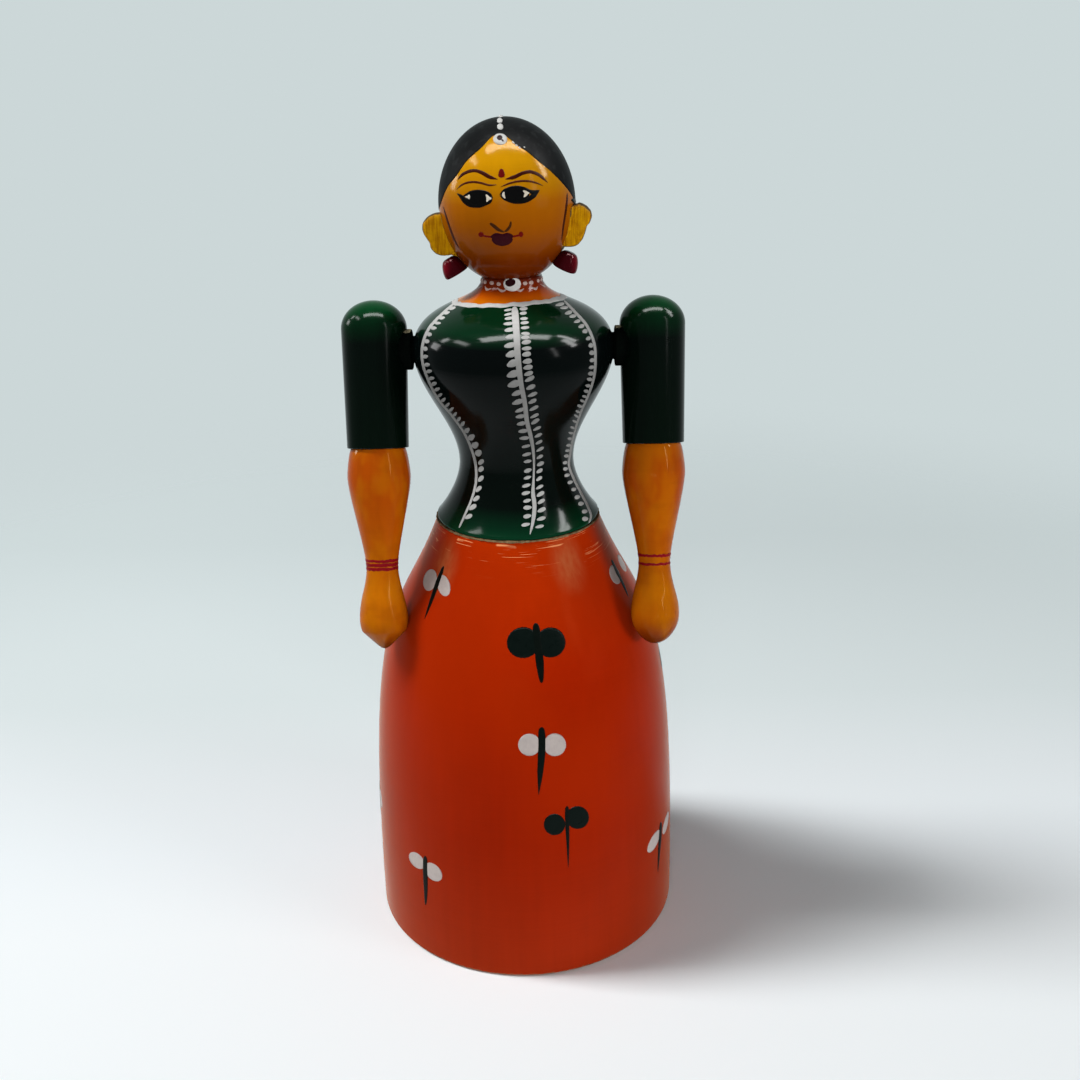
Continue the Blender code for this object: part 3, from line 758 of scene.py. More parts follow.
def leaves(name, points, toward, seed, spacing, *marks):
    """Leaves along a vine. Spacing, distance off the line, length, width, droop in degrees and
    how much wider the root is than the tip are each given evenly down the vine, in pixels, and
    chance varies them a little."""
    chance = np.random.default_rng(seed)
    line = through(points, 600)
    reach = way_along(line)
    way = np.linspace(0, reach[-1], len(spacing))
    at = [spacing[0] * LEAF_START]
    while at[-1] < reach[-1] - spacing[-1] * LEAF_STOP:
        at.append(at[-1] + np.interp(at[-1], way, spacing) * chance.uniform(0.92, 1.08))
    at = np.array(at[:-1])
    off, long, wide, droop, root = (np.interp(at, np.linspace(0, reach[-1], len(v)), v) for v in marks)
    foot = np.stack([np.interp(at, reach, line[:, axis]) for axis in (0, 1)], -1)
    drop = np.radians(droop + chance.normal(0, 4, len(at)))
    out = np.stack([toward * np.cos(drop), np.sin(drop)], -1)
    long = long * chance.uniform(0.9, 1.1, len(at))
    wide = wide * chance.uniform(0.88, 1.12, len(at))
    phase = np.linspace(0, np.pi, 13)
    way = (1 - np.cos(phase)) / 2
    paths = foot[:, None] + (off[:, None] + way * long[:, None])[..., None] * out[:, None]
    widths = wide[:, None] * np.sin(phase) * (1 + root[:, None] * (0.5 - way))
    painted(name, torso_side, (paths, widths), vine_white)


leaves("middle_leaves_right", middle_vine, -1, 11,
       (3.8, 7.6, 10.2, 9.6, 7.6, 7.4, 7.6, 7.8, 8.2, 8.2),
       (2.4, 2.0, 1.0, 1.0, 1.2, 1.8, 2.4, 2.8, 2.8, 2.2),
       (9.2, 10, 12.4, 12, 10.6, 9.5, 8.5, 8, 8.5, 8.5),
       (2.6, 4.2, 7.0, 6.4, 4.4, 3.6, 3.6, 3.8, 4.0, 3.8),
       (10, 8, 20, 22, 16, 12, 14, 14, 10, 8),
       (0.1, 0.2, 0.6, 0.6, 0.5, 0.3, 0, -0.2, -0.3, -0.3))
leaves("middle_leaves_left", middle_vine, 1, 12,
       (4.8, 5.0, 6.8, 7.8, 7.0, 6.6, 7.0, 7.8, 7.6, 6.6),
       (4.8, 4.6, 4.4, 4.4, 4.0, 3.8, 3.2, 3.4, 3.8, 4.0),
       (7.6, 8.0, 10, 10.4, 9.6, 8.6, 7.8, 7.6, 8.4, 8.8),
       (3.4, 3.6, 5.0, 4.6, 3.8, 3.6, 3.6, 3.6, 4.0, 3.6),
       (-4, -6, -10, -20, -28, -32, -36, -34, -24, -12),
       (0, 0, -0.4, -0.4, *[-0.3] * 6))
leaves("right_flank_leaves", right_flank, 1, 13,
       (6.0, 6.6, 8.0, 7.0, 6.4, 6.4, 9.0, 9.4, 9.6, 7.6),
       (2.0, 1.6, 1.2, 1.2, 1.0, 1.0, 1.4, 4.6, 3.8, 2.0),
       (8.5, 6.0, 4.6, 5.6, 5.6, 5.2, 7.4, 6.4, 8.4, 8.0),
       (3.0, 3.2, 4.4, 3.8, 3.2, 2.8, 6.6, 4.6, 4.6, 3.6),
       (-18, -6, 0, -10, -36, -56, -40, -52, -40, -18),
       (0.4, 0.4, 0.4, 0.3, 0.3, 0.3, 0.6, -0.2, -0.3, -0.3))
leaves("left_flank_leaves", left_flank, -1, 14,
       (5.4, 6.0, 7.6, 7.0, 5.6, 5.4, 5.6, 7.4, 8.2, 8.0),
       (2.2, 2.0, 1.6, 1.2, 1.0, 1.0, 1.2, 2.0, 2.4, 2.2),
       (8.5, 6.6, 4.8, 5.4, 5.0, 4.6, 4.8, 5.2, 5.6, 6.4),
       (3.2, 3.6, 4.6, 4.2, 3.2, 2.8, 3.0, 3.8, 4.4, 4.2),
       (10, 10, 30, 10, -20, -30, 10, 20, 10, 0),
       (0.4, 0.4, 0.4, 0.3, 0.3, 0.3, 0.3, -0.2, -0.3, -0.3))


# Necklace
# White dots right round the neck, with looser pink dashes hung below them and a ring pendant.
bead_paint = paint("bead_paint", (0.42, 0.31, 0.28), 0.45, 0.5)
maroon_paint = paint("maroon_paint", (0.016, 0.002, 0.003))
BEAD_COUNT = 22
NECKLACE_Z = 0.21070
FESTOON_COUNT = 12
FESTOON_Z = 0.2098
FESTOON_SPAN, FESTOON_START = 0.9, 0.03  # shares of the step from one festoon to the next


def around_neck(side, spots):
    """Angle and height of spots given in metres round the neck, whatever the side, and up."""
    return spots[..., 0] / NECK_RADIUS - np.pi / 2, spots[..., 1]


chance = np.random.default_rng(21)
bead_way = 2 * np.pi * (np.arange(BEAD_COUNT) + 0.5) / BEAD_COUNT * NECK_RADIUS
bead_way = bead_way + chance.normal(0, 0.00016, BEAD_COUNT)
bead_spots = np.stack([bead_way, NECKLACE_Z + chance.normal(0, 0.0001, BEAD_COUNT)], -1)
bead_sizes = chance.uniform(0.0012, 0.0018, BEAD_COUNT), chance.uniform(0.0009, 0.0012, BEAD_COUNT)
bead_dabs = dabs(bead_spots, *bead_sizes, 0)
painted("necklace_beads", torso_side, bead_dabs, bead_paint, 0.00018, around_neck)
step = 2 * np.pi * NECK_RADIUS / FESTOON_COUNT
loop = through([(0.1, -0.0001), (0.3, -0.0006), (0.55, -0.0009), (0.8, -0.0004)])
starts = step * (np.arange(FESTOON_COUNT) + FESTOON_START)
starts = np.stack([starts, np.full(FESTOON_COUNT, FESTOON_Z)], -1)
festoons = loop[None] * (step * FESTOON_SPAN, 1) + starts[:, None]
widths = np.broadcast_to(pressure(0.0002, 0.0004, 0.0007, 0.0004, 0.0002), (FESTOON_COUNT, 28))
painted("necklace_festoons", torso_side, (festoons, widths), bead_paint, PAINT, around_neck)
painted("pendant_ring", torso_side, dabs([(512.2, 284.2)], 17.6, 14.6, 0, 25), white_paint, 0.00030)
painted("pendant_core", torso_side, dabs([(510.6, 282.8)], 11.2, 9.4, 0.3, 21), maroon_paint, 0.00042)


# Head
# A turned ball, longer above than below, glued on the neck with a small lean and turn. Its lac
# is yellow on the forehead and browns towards the chin, partly its own colour and partly painted shade.
HEAD_RADIUS = 0.0194
CROWN_RISE = 0.0234
CHIN_DEPTH = 0.0223
HEAD_LEAN = math.radians(2.2)
HEAD_TURN = math.radians(4)
HEAD_GAP = 0.0003
HEAD_EQUATOR = HEAD_GAP + CHIN_DEPTH * math.sqrt(1 - (NECK_RADIUS / HEAD_RADIUS) ** 2)
NECK_HOLE = (0.0043, 0.0116)


def placement(shift, about_x, about_y=0.0, about_z=0.0):
    """A 4 x 4 placement: turned about X, then Y, then Z, then shifted."""
    cx, cy, cz = math.cos(about_x), math.cos(about_y), math.cos(about_z)
    sx, sy, sz = math.sin(about_x), math.sin(about_y), math.sin(about_z)
    place = np.eye(4)
    place[:3, :3] = (
        np.array([(cz, -sz, 0), (sz, cz, 0), (0, 0, 1)])
        @ np.array([(cy, 0, sy), (0, 1, 0), (-sy, 0, cy)])
        @ np.array([(1, 0, 0), (0, cx, -sx), (0, sx, cx)])
    )
    place[:3, 3] = shift
    return place


head_place = placement((0, 0, NECK_TOP_Z), 0, -HEAD_LEAN, -HEAD_TURN)
chin_end = -math.degrees(math.asin((HEAD_EQUATOR - HEAD_GAP) / CHIN_DEPTH))
head_outside = np.concatenate([
    arc(HEAD_RADIUS, CROWN_RISE, (0, HEAD_EQUATOR), 90, 0, 80),
    arc(HEAD_RADIUS, CHIN_DEPTH, (0, HEAD_EQUATOR), 0, chin_end, 60)[1:],
])
head_outside[0, 0] = 0
head_side = side_of(head_outside, head_place)
hole_radius, hole_depth = NECK_HOLE
head_outline = np.concatenate([
    head_outside, [(hole_radius, HEAD_GAP), (hole_radius, hole_depth), (0, hole_depth)],
])
# darker towards the chin, partly painted shade
face_lac = lac(
    "face_lac", 0, HEAD_EQUATOR + CROWN_RISE,
    [(0, 0.10, 0.012, 0.0004), (1, 0.62, 0.29, 0.001), (0.14, 0.14, 0.021, 0.0004),
     (0.32, 0.26, 0.062, 0.0004), (0.50, 0.34, 0.096, 0.0004), (0.60, 0.44, 0.175, 0.0006),
     (0.75, 0.58, 0.26, 0.001)],
    roughness=0.13, rings=0.05, gloss=0.08, tint=(1, 0.85, 0.6),
)
finished(turned("head_ball", head_outline, head_place), face_lac, "doll", "head")


# Hair
# Black paint brushed on thickly from a point above the forehead, down past the ears and round
# the nape, dull next to the lac.
HAIR_THICKNESS = 0.00014
HAIR_BACK = math.radians(48)  # how high at the back the brushed rings meet
HAIR_BLACK = (0.0036, 0.004, 0.0043)
SCUFFED_BLACK = (0.011, 0.012, 0.0125)


def stretch_of(above):
    """How far the head reaches from its middle along X, Y and Z, above or below its widest ring."""
    tall = np.where(above, CROWN_RISE, CHIN_DEPTH)
    return np.stack([0 * tall + HEAD_RADIUS, 0 * tall + HEAD_RADIUS, tall], -1)


def on_ball(direction, lift):
    """The head's surface in a unit direction of the ball that it is stretched from, at a lift
    along its normal, which is the direction divided by the stretch."""
    stretch = stretch_of(direction[..., 2] > 0)
    return (0, 0, HEAD_EQUATOR) + direction * stretch + lift * unit(direction / stretch)


point = [(500, 134.5)]
front_left = [(507, 137), (518, 146), (526, 151), (538, 161), (550, 171), (563, 184), (572, 196)]
front_right = [(440.8, 204), (449, 185), (457, 175), (466, 162), (481, 148), (493, 136)]
nape = [(97, 0.0175), (112, 0.0112), (140, 0.0070), (180, 0.0058), (220, 0.0070), (248, 0.0112),
        (263, 0.0175)]  # degrees round from the front, and height
hairline = []
for points, turn in ((point + front_left, -180), (front_right + point, 180)):
    angle_seen, height_seen = seen(head_side, points)
    degrees = (np.degrees(angle_seen) + 90 + 180) % 360 + turn
    hairline.append(np.stack([degrees, height_seen], -1))
hairline = np.concatenate([hairline[0], nape, hairline[1]]) * (math.radians(1) * HEAD_RADIUS, 1)
hairline = through(hairline, 360)
angle_round = hairline[:, 0] / HEAD_RADIUS - np.pi / 2
above = hairline[:, 1] - HEAD_EQUATOR
rise = above / np.where(above > 0, CROWN_RISE, CHIN_DEPTH)
flat = np.sqrt(1 - rise**2)
rim = round_axis(flat, angle_round, rise)
back = np.array([0, math.cos(HAIR_BACK), math.sin(HAIR_BACK)])
# rings from the meeting point out to the rim, rounded over there, and back inside the head
share = np.concatenate([
    np.linspace(1, 0.03, 70), [0.02, 0.012, 0.006, 0.002, 0], np.linspace(0.004, 1, 40),
])
lift = np.concatenate([np.full(71, 1), [0.95, 0.8, 0.5, 0], np.full(40, -0.4)]) * HAIR_THICKNESS
swept = unit(share[:, None, None] * back + (1 - share)[:, None, None] * rim)
hair = skin("hair", placed(on_ball(swept, lift[:, None, None]), head_place)[None])
hair_paint, tree = new_finish("hair_paint")
spot = whereabouts(tree)
strands = noise(spot, (90, 2600, 90), 4)
patches = noise(spot, (160, 160, 160), 3)
black = shaded(sway(1, (strands, 1.2), (patches, 1.2)), HAIR_BLACK)
scuffs = over(noise(spot, (420, 420, 420), 5), 0.60, 0.10)
black = mixed(scuffs, black, SCUFFED_BLACK)
rough = sway(0.46, (strands, 0.2), (patches, 0.2))
relief = sway(0.5, (strands, 1), (patches, 0.4))
set_finish(black, rough, relief, 0.5, 0.00005, 0.03)
finished(hair, hair_paint)


# Parting ornament
# Raised white dots along the parting and a white disc with a dark red stone at its front end.
dots = dabs([(500.3, 127.3), (499.8, 121.2), (500.4, 116.6)], (6.0, 5.6, 5.6), (6.2, 5.0, 2.4), 0)
painted("parting_dots", head_side, dots, white_paint, 0.0005)
painted("parting_disc", head_side, dabs([(500.2, 139.2)], 14, 11.5, 0, 21), white_paint, 0.0004)
stone = dabs([(499.8, 138.6), (502.6, 141.2)], (6.2, 3.2), (5.8, 2.0), (0.2, -0.8))
painted("parting_stone", head_side, stone, maroon_paint, 0.00055)
# pale flecks: chipped paint and, in part, painted glints of the forehead's highlight
chips_and_glints = dabs([(513.2, 142.6), (516.4, 145.3), (519.6, 147.6), (524.2, 147.4)],
             (3.4, 2.8, 2.4, 2.0), (1.6, 1.5, 1.4, 1.3), (-0.8, -0.5, -0.9, -0.6))
painted("hairline_chips_and_glints", head_side, chips_and_glints, white_paint, 0.0002)


# Face
# Brushed on freehand: fine brown brows and lid creases, long black-rimmed eyes, a nose of two
# strokes, small dark red lips with a dot at each corner, and a red drop on the forehead.
brow_paint = paint("brow_paint", (0.040, 0.005, 0.001))
crease_paint = paint("crease_paint", (0.060, 0.010, 0.002))
eye_paint = paint("eye_paint", (0.003, 0.003, 0.003), 0.22, 0.3)
eye_white = paint("eye_white", (0.62, 0.56, 0.46), 0.4, 0.2)
lip_paint = paint("lip_paint", (0.028, 0.002, 0.005), 0.25, 0.3)
scarlet_paint = paint("scarlet_paint", (0.12, 0.003, 0.002))
nose_paint = paint("nose_paint", (0.045, 0.014, 0.003), 0.35)

strokes("brows", head_side, [
    ([(457.6, 180), (461.6, 175.2), (466.4, 172.4), (475, 170.6), (482, 172.8), (490, 177.2),
      (498, 179.4)], (1.6, 3.0, 3.4, 3.4, 4.2, 3.8, 1.0)),
    ([(505, 179.4), (515, 176.8), (522, 173.4), (530, 171.8), (538.6, 174.8), (543.6, 178.8),
      (548, 183)], (1.2, 4.0, 3.6, 3.6, 3.4, 3.0, 1.0)),
], brow_paint)
strokes("lid_creases", head_side, [
    ([(456.5, 189.8), (461, 185.4), (467, 182.8), (474, 182), (481, 183), (489, 185.2), (497, 184.8)],
     (0.8, 1.9, 2.2, 2.3, 2.2, 2.0, 1.0)),
    ([(500.5, 187), (509.5, 183.4), (520, 181.2), (530, 181.4), (537, 183.2), (543.5, 186)],
     (0.8, 2.0, 2.3, 2.3, 2.0, 0.9)),
], crease_paint)
irises = dabs([(479.0, 198.8), (515.0, 195.0)], (27, 29), (15.2, 14.8), (-0.05, 0.04), 21)
painted("irises", head_side, irises, eye_paint, 0.0001)
strokes("lids", head_side, [
    ([(456.8, 193.4), (461, 196.4), (465.4, 201.4), (470, 204.8), (476, 206.2), (482, 205.6),
      (488, 202.8), (492.4, 197.8)], (1.2, 4.6, 5.4, 4.4, 3.2, 3.0, 2.2, 1.2)),
    ([(462, 197), (466.2, 194.6), (470.4, 192.4), (477.7, 191.2), (485, 192), (490.2, 194.4),
      (492.8, 198)], (1.4, 2.4, 3.0, 3.2, 2.8, 2.4, 1.2)),
    ([(499.4, 195), (503, 191), (508.5, 188.4), (517.3, 187.3), (524.6, 189), (531, 192), (539.8, 190.2)],
     (1.0, 2.4, 3.2, 3.6, 3.6, 4.4, 1.2)),
    ([(499.6, 195.4), (503, 198.4), (508.5, 201), (517.3, 202.4), (526, 200.8), (532.4, 196.6),
      (539.4, 190.8)], (0.9, 2.0, 2.8, 3.4, 4.2, 5.4, 1.4)),
], eye_paint, 0.00012)
strokes("eye_whites", head_side, [
    ([(469.6, 194.6), (468.8, 196.6), (469.6, 199.2)], (1.2, 3.6, 1.2)),
    ([(468.8, 197.0), (467.0, 196.9), (465.4, 196.6)], (2.8, 2.2, 0.8)),
    ([(486.0, 194.4), (488.0, 198.0), (486.8, 202.0)], (1.4, 3.8, 1.4)),
    ([(488.4, 198.4), (490.0, 198.4), (491.6, 198.0)], (3.8, 3.0, 0.8)),
    ([(504.0, 191.8), (503.4, 195.0), (505.2, 198.4)], (1.4, 3.2, 1.2)),
    ([(523.0, 190.6), (526.2, 193.0), (523.8, 197.2)], (1.6, 4.2, 1.4)),
    ([(526.0, 193.2), (527.6, 193.0), (529.4, 192.8)], (3.4, 2.6, 0.8)),
], eye_white, 0.00018)
strokes("nose", head_side, [
    ([(489.8, 223.2), (493.5, 225.8), (499, 230), (504.2, 232.2)], (2.6, 3.6, 3.2, 1.6)),
    ([(511, 221.4), (510.2, 225.6), (507.6, 229.6), (504.4, 232)], (1.8, 2.6, 2.8, 1.6)),
], nose_paint)
strokes("mouth_line", head_side, [
    ([(480.8, 234.8), (484, 235.8), (488, 236.6), (493, 237.2)], (1.6, 2.0, 2.0, 2.0)),
    ([(521, 234.8), (518, 235.6), (515, 236.2), (511, 236.8)], (1.6, 2.0, 2.0, 2.0)),
], scarlet_paint, 0.00004)
corners = dabs([(481, 234.6), (521, 234.4)], (5.4, 4.8), (5.4, 5.6), (0, 0))
painted("mouth_corners", head_side, corners, scarlet_paint)
strokes("lips", head_side, [
    ([(490.6, 237.0), (496, 236.2), (502.4, 237.2), (508, 236.0), (513.4, 236.6)],
     (3.4, 6.4, 6.6, 6.6, 3.4)),
    ([(491.8, 239), (497, 240.8), (502.4, 241.4), (508, 240.6), (512.6, 238.8)],
     (4.0, 8.2, 9.6, 8.2, 4.0)),
], lip_paint, 0.0001)
strokes("forehead_drop", head_side, [
    ([(501.3, 168.8), (501.4, 171), (501.5, 174.2), (501.6, 177.6)], (3.0, 5.4, 6.6, 5.8)),
], scarlet_paint, 0.00014)
strokes("side_locks", head_side, [
    ([(567.2, 193), (567, 200), (565.6, 212), (563.4, 226), (561.6, 241)], (1.2, 2.2, 2.0, 1.8, 0.8)),
    ([(443, 206), (447.6, 221), (452, 234), (456, 243), (459.4, 249)], (1.0, 1.8, 2.0, 2.2, 0.8)),
], brow_paint)
painted("hair_blot", head_side, dabs([(574.2, 201)], 6.5, 4.4, -0.6), black_paint, 0.0003)


# Ears
# Flat slips with two lobes, whittled by hand, glued to the head and painted a matt yellow that
# has worn to the grey wood at the edges.
EAR_FRONT = 0.0055
EAR_THICKNESS = 0.0045
EAR_CENTRE_DROP = 0.0072  # below the head's widest ring
EAR_ROOT = 0.72  # where the slip ends inside the head, as a share of its radius
EAR_CAST = 0.3  # how deep in the slip its outline is cast, as a share of its thickness
EAR_STEPS, ROOT_STEPS = 90, 30  # points along the outline and along its inner end
EAR_MIDDLE_INSET = 0.0012
EAR_WOBBLE = 0.012
GLUE_CLEARANCE = 0.00002
CHISEL_MARKS = 0.00022
WORN_WOOD = (0.085, 0.055, 0.025)
left_ear = [(570, 205.5), (574.5, 204.4), (579.6, 203.2), (586, 206), (590.6, 211), (591.8, 217),
            (590, 222.4), (587, 226.4), (586, 230), (584.4, 235), (581, 241.4), (576, 245.8),
            (569, 247), (560, 246)]
right_ear = [(448, 211.5), (438.5, 212.8), (432, 214.2), (426.6, 217.4), (423.2, 222), (422, 227.6),
             (423.4, 233.4), (426.7, 238.5), (429.6, 242.6), (430.8, 247.4), (433, 251), (437, 254.2),
             (442, 255.8), (452, 255)]


def clear_of_ball(points):
    """Points of a piece glued on the head, moved out along the ball's radius to its face."""
    stretch = stretch_of(points[..., 2] > HEAD_EQUATOR) + GLUE_CLEARANCE
    way = (points - (0, 0, HEAD_EQUATOR)) / stretch
    size = np.linalg.norm(way, axis=-1, keepdims=True)
    return (0, 0, HEAD_EQUATOR) + way / np.minimum(size, 1) * stretch


def ear(name, pixels, side, node_name):
    """The outline is cast on the slip's front plane and closed inside the head. Rings shrink from
    it to the middle of the front and back faces, and round over at the edge."""
    spin = head_place[:3, :3]
    start, aim = (EYE - head_place[:3, 3]) @ spin, sight(np.array(pixels, float)) @ spin
    reach = (-EAR_FRONT + EAR_THICKNESS * EAR_CAST - start[1]) / aim[:, 1]
    cast = start + reach[:, None] * aim
    middle = np.array([side * (HEAD_RADIUS - EAR_MIDDLE_INSET), HEAD_EQUATOR - EAR_CENTRE_DROP])
    outer = through(cast[:, [0, 2]], EAR_STEPS)
    root = side * HEAD_RADIUS * EAR_ROOT
    inner = np.linspace((root, outer[-1, 1]), (root, outer[0, 1]), ROOT_STEPS)
    loop = np.concatenate([outer, inner])
    way = np.arange(len(loop)) / len(loop) * 2 * np.pi
    loop = middle + (loop - middle) * (1 + EAR_WOBBLE * uneven(way, 31 + side))[:, None]
    shrink = np.array([0, 0.3, 0.6, 0.8, 0.9, 0.96, 0.99, 1, 1, 0.99, 0.95, 0.88, 0.6, 0.3, 0])
    depth = np.array([0, 0, 0.01, 0.02, 0.06, 0.13, 0.24, 0.38, 0.65, 0.8, 0.92, 0.98, 1, 1, 1])
    flat = middle + shrink[:, None, None] * (loop - middle)
    chisel = CHISEL_MARKS * uneven(way, 41 + side) * shrink[:, None] ** 2
    deep = -EAR_FRONT + depth[:, None] * EAR_THICKNESS + chisel
    own = clear_of_ball(np.stack([flat[..., 0], deep, flat[..., 1]], -1))
    marks = np.stack([shrink[:, None] + 0 * way, way + 0 * shrink[:, None], deep], -1)
    piece = skin(name, placed(own, head_place)[None], marks)
    finished(piece, ear_paint, "doll", node_name)


ear_paint, tree = new_finish("ear_paint")
spot = whereabouts(tree)
bristle = noise(spot, (2400, 900, 170), 4)
patch = noise(spot, (420, 420, 420), 4)
yellow = ramp(sway(0.5, (bristle, 1.2), (patch, 0.8)), 0, 1,
              [(0, 0.19, 0.062, 0.001), (1, 0.60, 0.345, 0.008), (0.35, 0.35, 0.142, 0.001),
               (0.7, 0.51, 0.245, 0.001)])
from_middle = sway(whereabouts(tree, 0, True), (patch, 0.16), (bristle, 0.05))
colour = mixed(over(from_middle, 0.955, 0.05), yellow, WORN_WOOD)
rough, relief = sway(0.5, (bristle, 0.3)), sway(0.5, (bristle, 1), (patch, 0.6))
set_finish(colour, rough, relief, 0.8, 0.00012, 0.05, (1, 0.85, 0.5))
ear("left_ear_slip", left_ear, 1, "left_ear")
ear("right_ear_slip", right_ear, -1, "right_ear")


# Earrings
# Bell-shaped beads turned in one with a short stub, lacquered crimson and glued to the jaw.
BEAD_TOP_RADIUS = 0.0015
BEAD_MOUTH_RADIUS = 0.0037
BEAD_LENGTH = 0.0052
BEAD_LIP = 0.0007
BEAD_CHAMFER = 0.0001  # at the top's edge, whose flat is a tenth narrower
BEAD_TILT = math.radians(27)
BEAD_SWELL, BEAD_HOLD = 0.40, 0.50
BEAD_OUT = 0.0177  # middle of the bead's top, out from the head's axis
BEAD_DROP = 0.0133  # its tilted top's upper edge, below the head's widest ring
BEAD_TOP = HEAD_EQUATOR - BEAD_DROP - BEAD_TOP_RADIUS * math.sin(BEAD_TILT)
BEAD_SHADE = (0.035, 0.001, 0.003)  # painted shade on the side towards the jaw
bead_outline = np.concatenate([
    [(0, 0), (BEAD_TOP_RADIUS * 0.9, 0)],
    curve(
        (BEAD_TOP_RADIUS, -BEAD_CHAMFER),
        (BEAD_TOP_RADIUS + BEAD_SWELL * (BEAD_MOUTH_RADIUS - BEAD_TOP_RADIUS), -BEAD_CHAMFER),
        (BEAD_MOUTH_RADIUS, -BEAD_HOLD * BEAD_LENGTH),
        (BEAD_MOUTH_RADIUS, BEAD_LIP - BEAD_LENGTH),
    ),
    rounded_edge(BEAD_LIP, BEAD_MOUTH_RADIUS, BEAD_LIP - BEAD_LENGTH, 0, -90, 10)[1:],
    [(BEAD_TOP_RADIUS, -BEAD_LENGTH), (0, -BEAD_LENGTH)],
])
bead_lac = lac(
    "bead_lac", -BEAD_LENGTH, 0,
    [(0, 0.09, 0.002, 0.006), (1, 0.20, 0.002, 0.010), (0.5, 0.17, 0.002, 0.010)],
    roughness=0.12, streaks=0.9, clouds=0.8, tint=(1, 0.5, 0.5),
)
tree, base = colour_so_far(bead_lac)
# painted shade on the side of the bead towards the jaw
outward = reckoned("ABSOLUTE", whereabouts(tree, 0))
recoloured(mixed(over(outward, 0.0186, 0.004), BEAD_SHADE, base))


def reshaped(piece, place, change):
    """A piece's points moved back out of its placement, through a change, and placed again."""
    points = np.empty(3 * len(piece.data.vertices), np.float32)
    piece.data.vertices.foreach_get("co", points)
    own = (points.reshape(-1, 3).astype(float) - place[:3, 3]) @ place[:3, :3]
    piece.data.vertices.foreach_set("co", placed(change(own), place).ravel())


for side, word in ((1, "left"), (-1, "right")):
    top = (side * BEAD_OUT, EAR_THICKNESS / 2 - EAR_FRONT, BEAD_TOP)
    bead = turned(word + "_bell_bead", bead_outline, head_place @ placement(top, 0, side * BEAD_TILT), 72)
    reshaped(bead, head_place, clear_of_ball)
    finished(bead, bead_lac, "doll", word + "_earring")


# Arms
# Each arm is a green sleeve glued to an amber forearm and hand, and swings on its shoulder pin.
# The hands rest a little forward, against the fullest part of the skirt.
ARM_SPREAD = 0.0413
ARM_SWING = math.radians(15.06)
SLEEVE_RADIUS = 0.00975
SLEEVE_MOUTH_RADIUS = 0.0092
SLEEVE_RISE = 0.0146
SLEEVE_CAP = 0.0084
SLEEVE_DROP = 0.0290
SLEEVE_EDGE = 0.0003
ELBOW_DROP = SLEEVE_DROP + 0.00008
ELBOW_RADIUS = 0.0083
FOREARM_RADIUS = 0.0095
FOREARM_Z = -0.0375
WRIST_RADIUS = 0.0048
WRIST_Z = FOREARM_Z - 0.0275
HAND_RADIUS = 0.0073
HAND_Z = WRIST_Z - 0.0160
HAND_LENGTH = 0.0092
FINGERTIP_RADIUS = 0.0009
FOREARM_HOLD, HAND_HOLD = 0.20, 0.34
ELBOW_EDGE = 0.0004
ELBOW_HOLE = (0.0028, 0.0083)

hole_radius, hole_depth = ELBOW_HOLE
cap_z = SLEEVE_RISE - SLEEVE_CAP
sleeve_outside = np.concatenate([
    arc(SLEEVE_RADIUS, SLEEVE_CAP, (0, cap_z), 90, 0, 50),
    np.linspace((SLEEVE_RADIUS, cap_z), (SLEEVE_MOUTH_RADIUS, -SLEEVE_DROP + SLEEVE_EDGE), 40)[1:],
])
sleeve_outside[0, 0] = 0
sleeve_outline = np.concatenate([
    sleeve_outside,
    rounded_edge(SLEEVE_EDGE, SLEEVE_MOUTH_RADIUS, SLEEVE_EDGE - SLEEVE_DROP, 0, -90, 6)[1:],
    [(hole_radius, -SLEEVE_DROP), (hole_radius, hole_depth - SLEEVE_DROP), (0, hole_depth - SLEEVE_DROP)],
])
nub = -math.degrees(math.acos(FINGERTIP_RADIUS / HAND_RADIUS))
forearm_outside = np.concatenate([
    rounded_edge(ELBOW_EDGE, ELBOW_RADIUS, -ELBOW_DROP - ELBOW_EDGE, 85, 0, 6),
    curve(
        (ELBOW_RADIUS, -ELBOW_DROP - ELBOW_EDGE),
        ((ELBOW_RADIUS + FOREARM_RADIUS) / 2, -ELBOW_DROP + FOREARM_HOLD * (FOREARM_Z + ELBOW_DROP)),
        (FOREARM_RADIUS, FOREARM_Z - FOREARM_HOLD * (FOREARM_Z + ELBOW_DROP)),
        (FOREARM_RADIUS, FOREARM_Z),
        24,
    )[1:],
    bulge(FOREARM_RADIUS, FOREARM_Z, WRIST_RADIUS, WRIST_Z, FOREARM_HOLD, FOREARM_HOLD)[1:],
    bulge(WRIST_RADIUS, WRIST_Z, HAND_RADIUS, HAND_Z, HAND_HOLD, HAND_HOLD)[1:],
    arc(HAND_RADIUS, HAND_LENGTH, (0, HAND_Z), 0, nub, 30)[1:],
])
tip_z = forearm_outside[-1, 1]
forearm_outline = np.concatenate([
    [(0, -ELBOW_DROP - hole_depth), (hole_radius, -ELBOW_DROP - hole_depth), (hole_radius, -ELBOW_DROP)],
    forearm_outside,
    [(0, tip_z)],
])
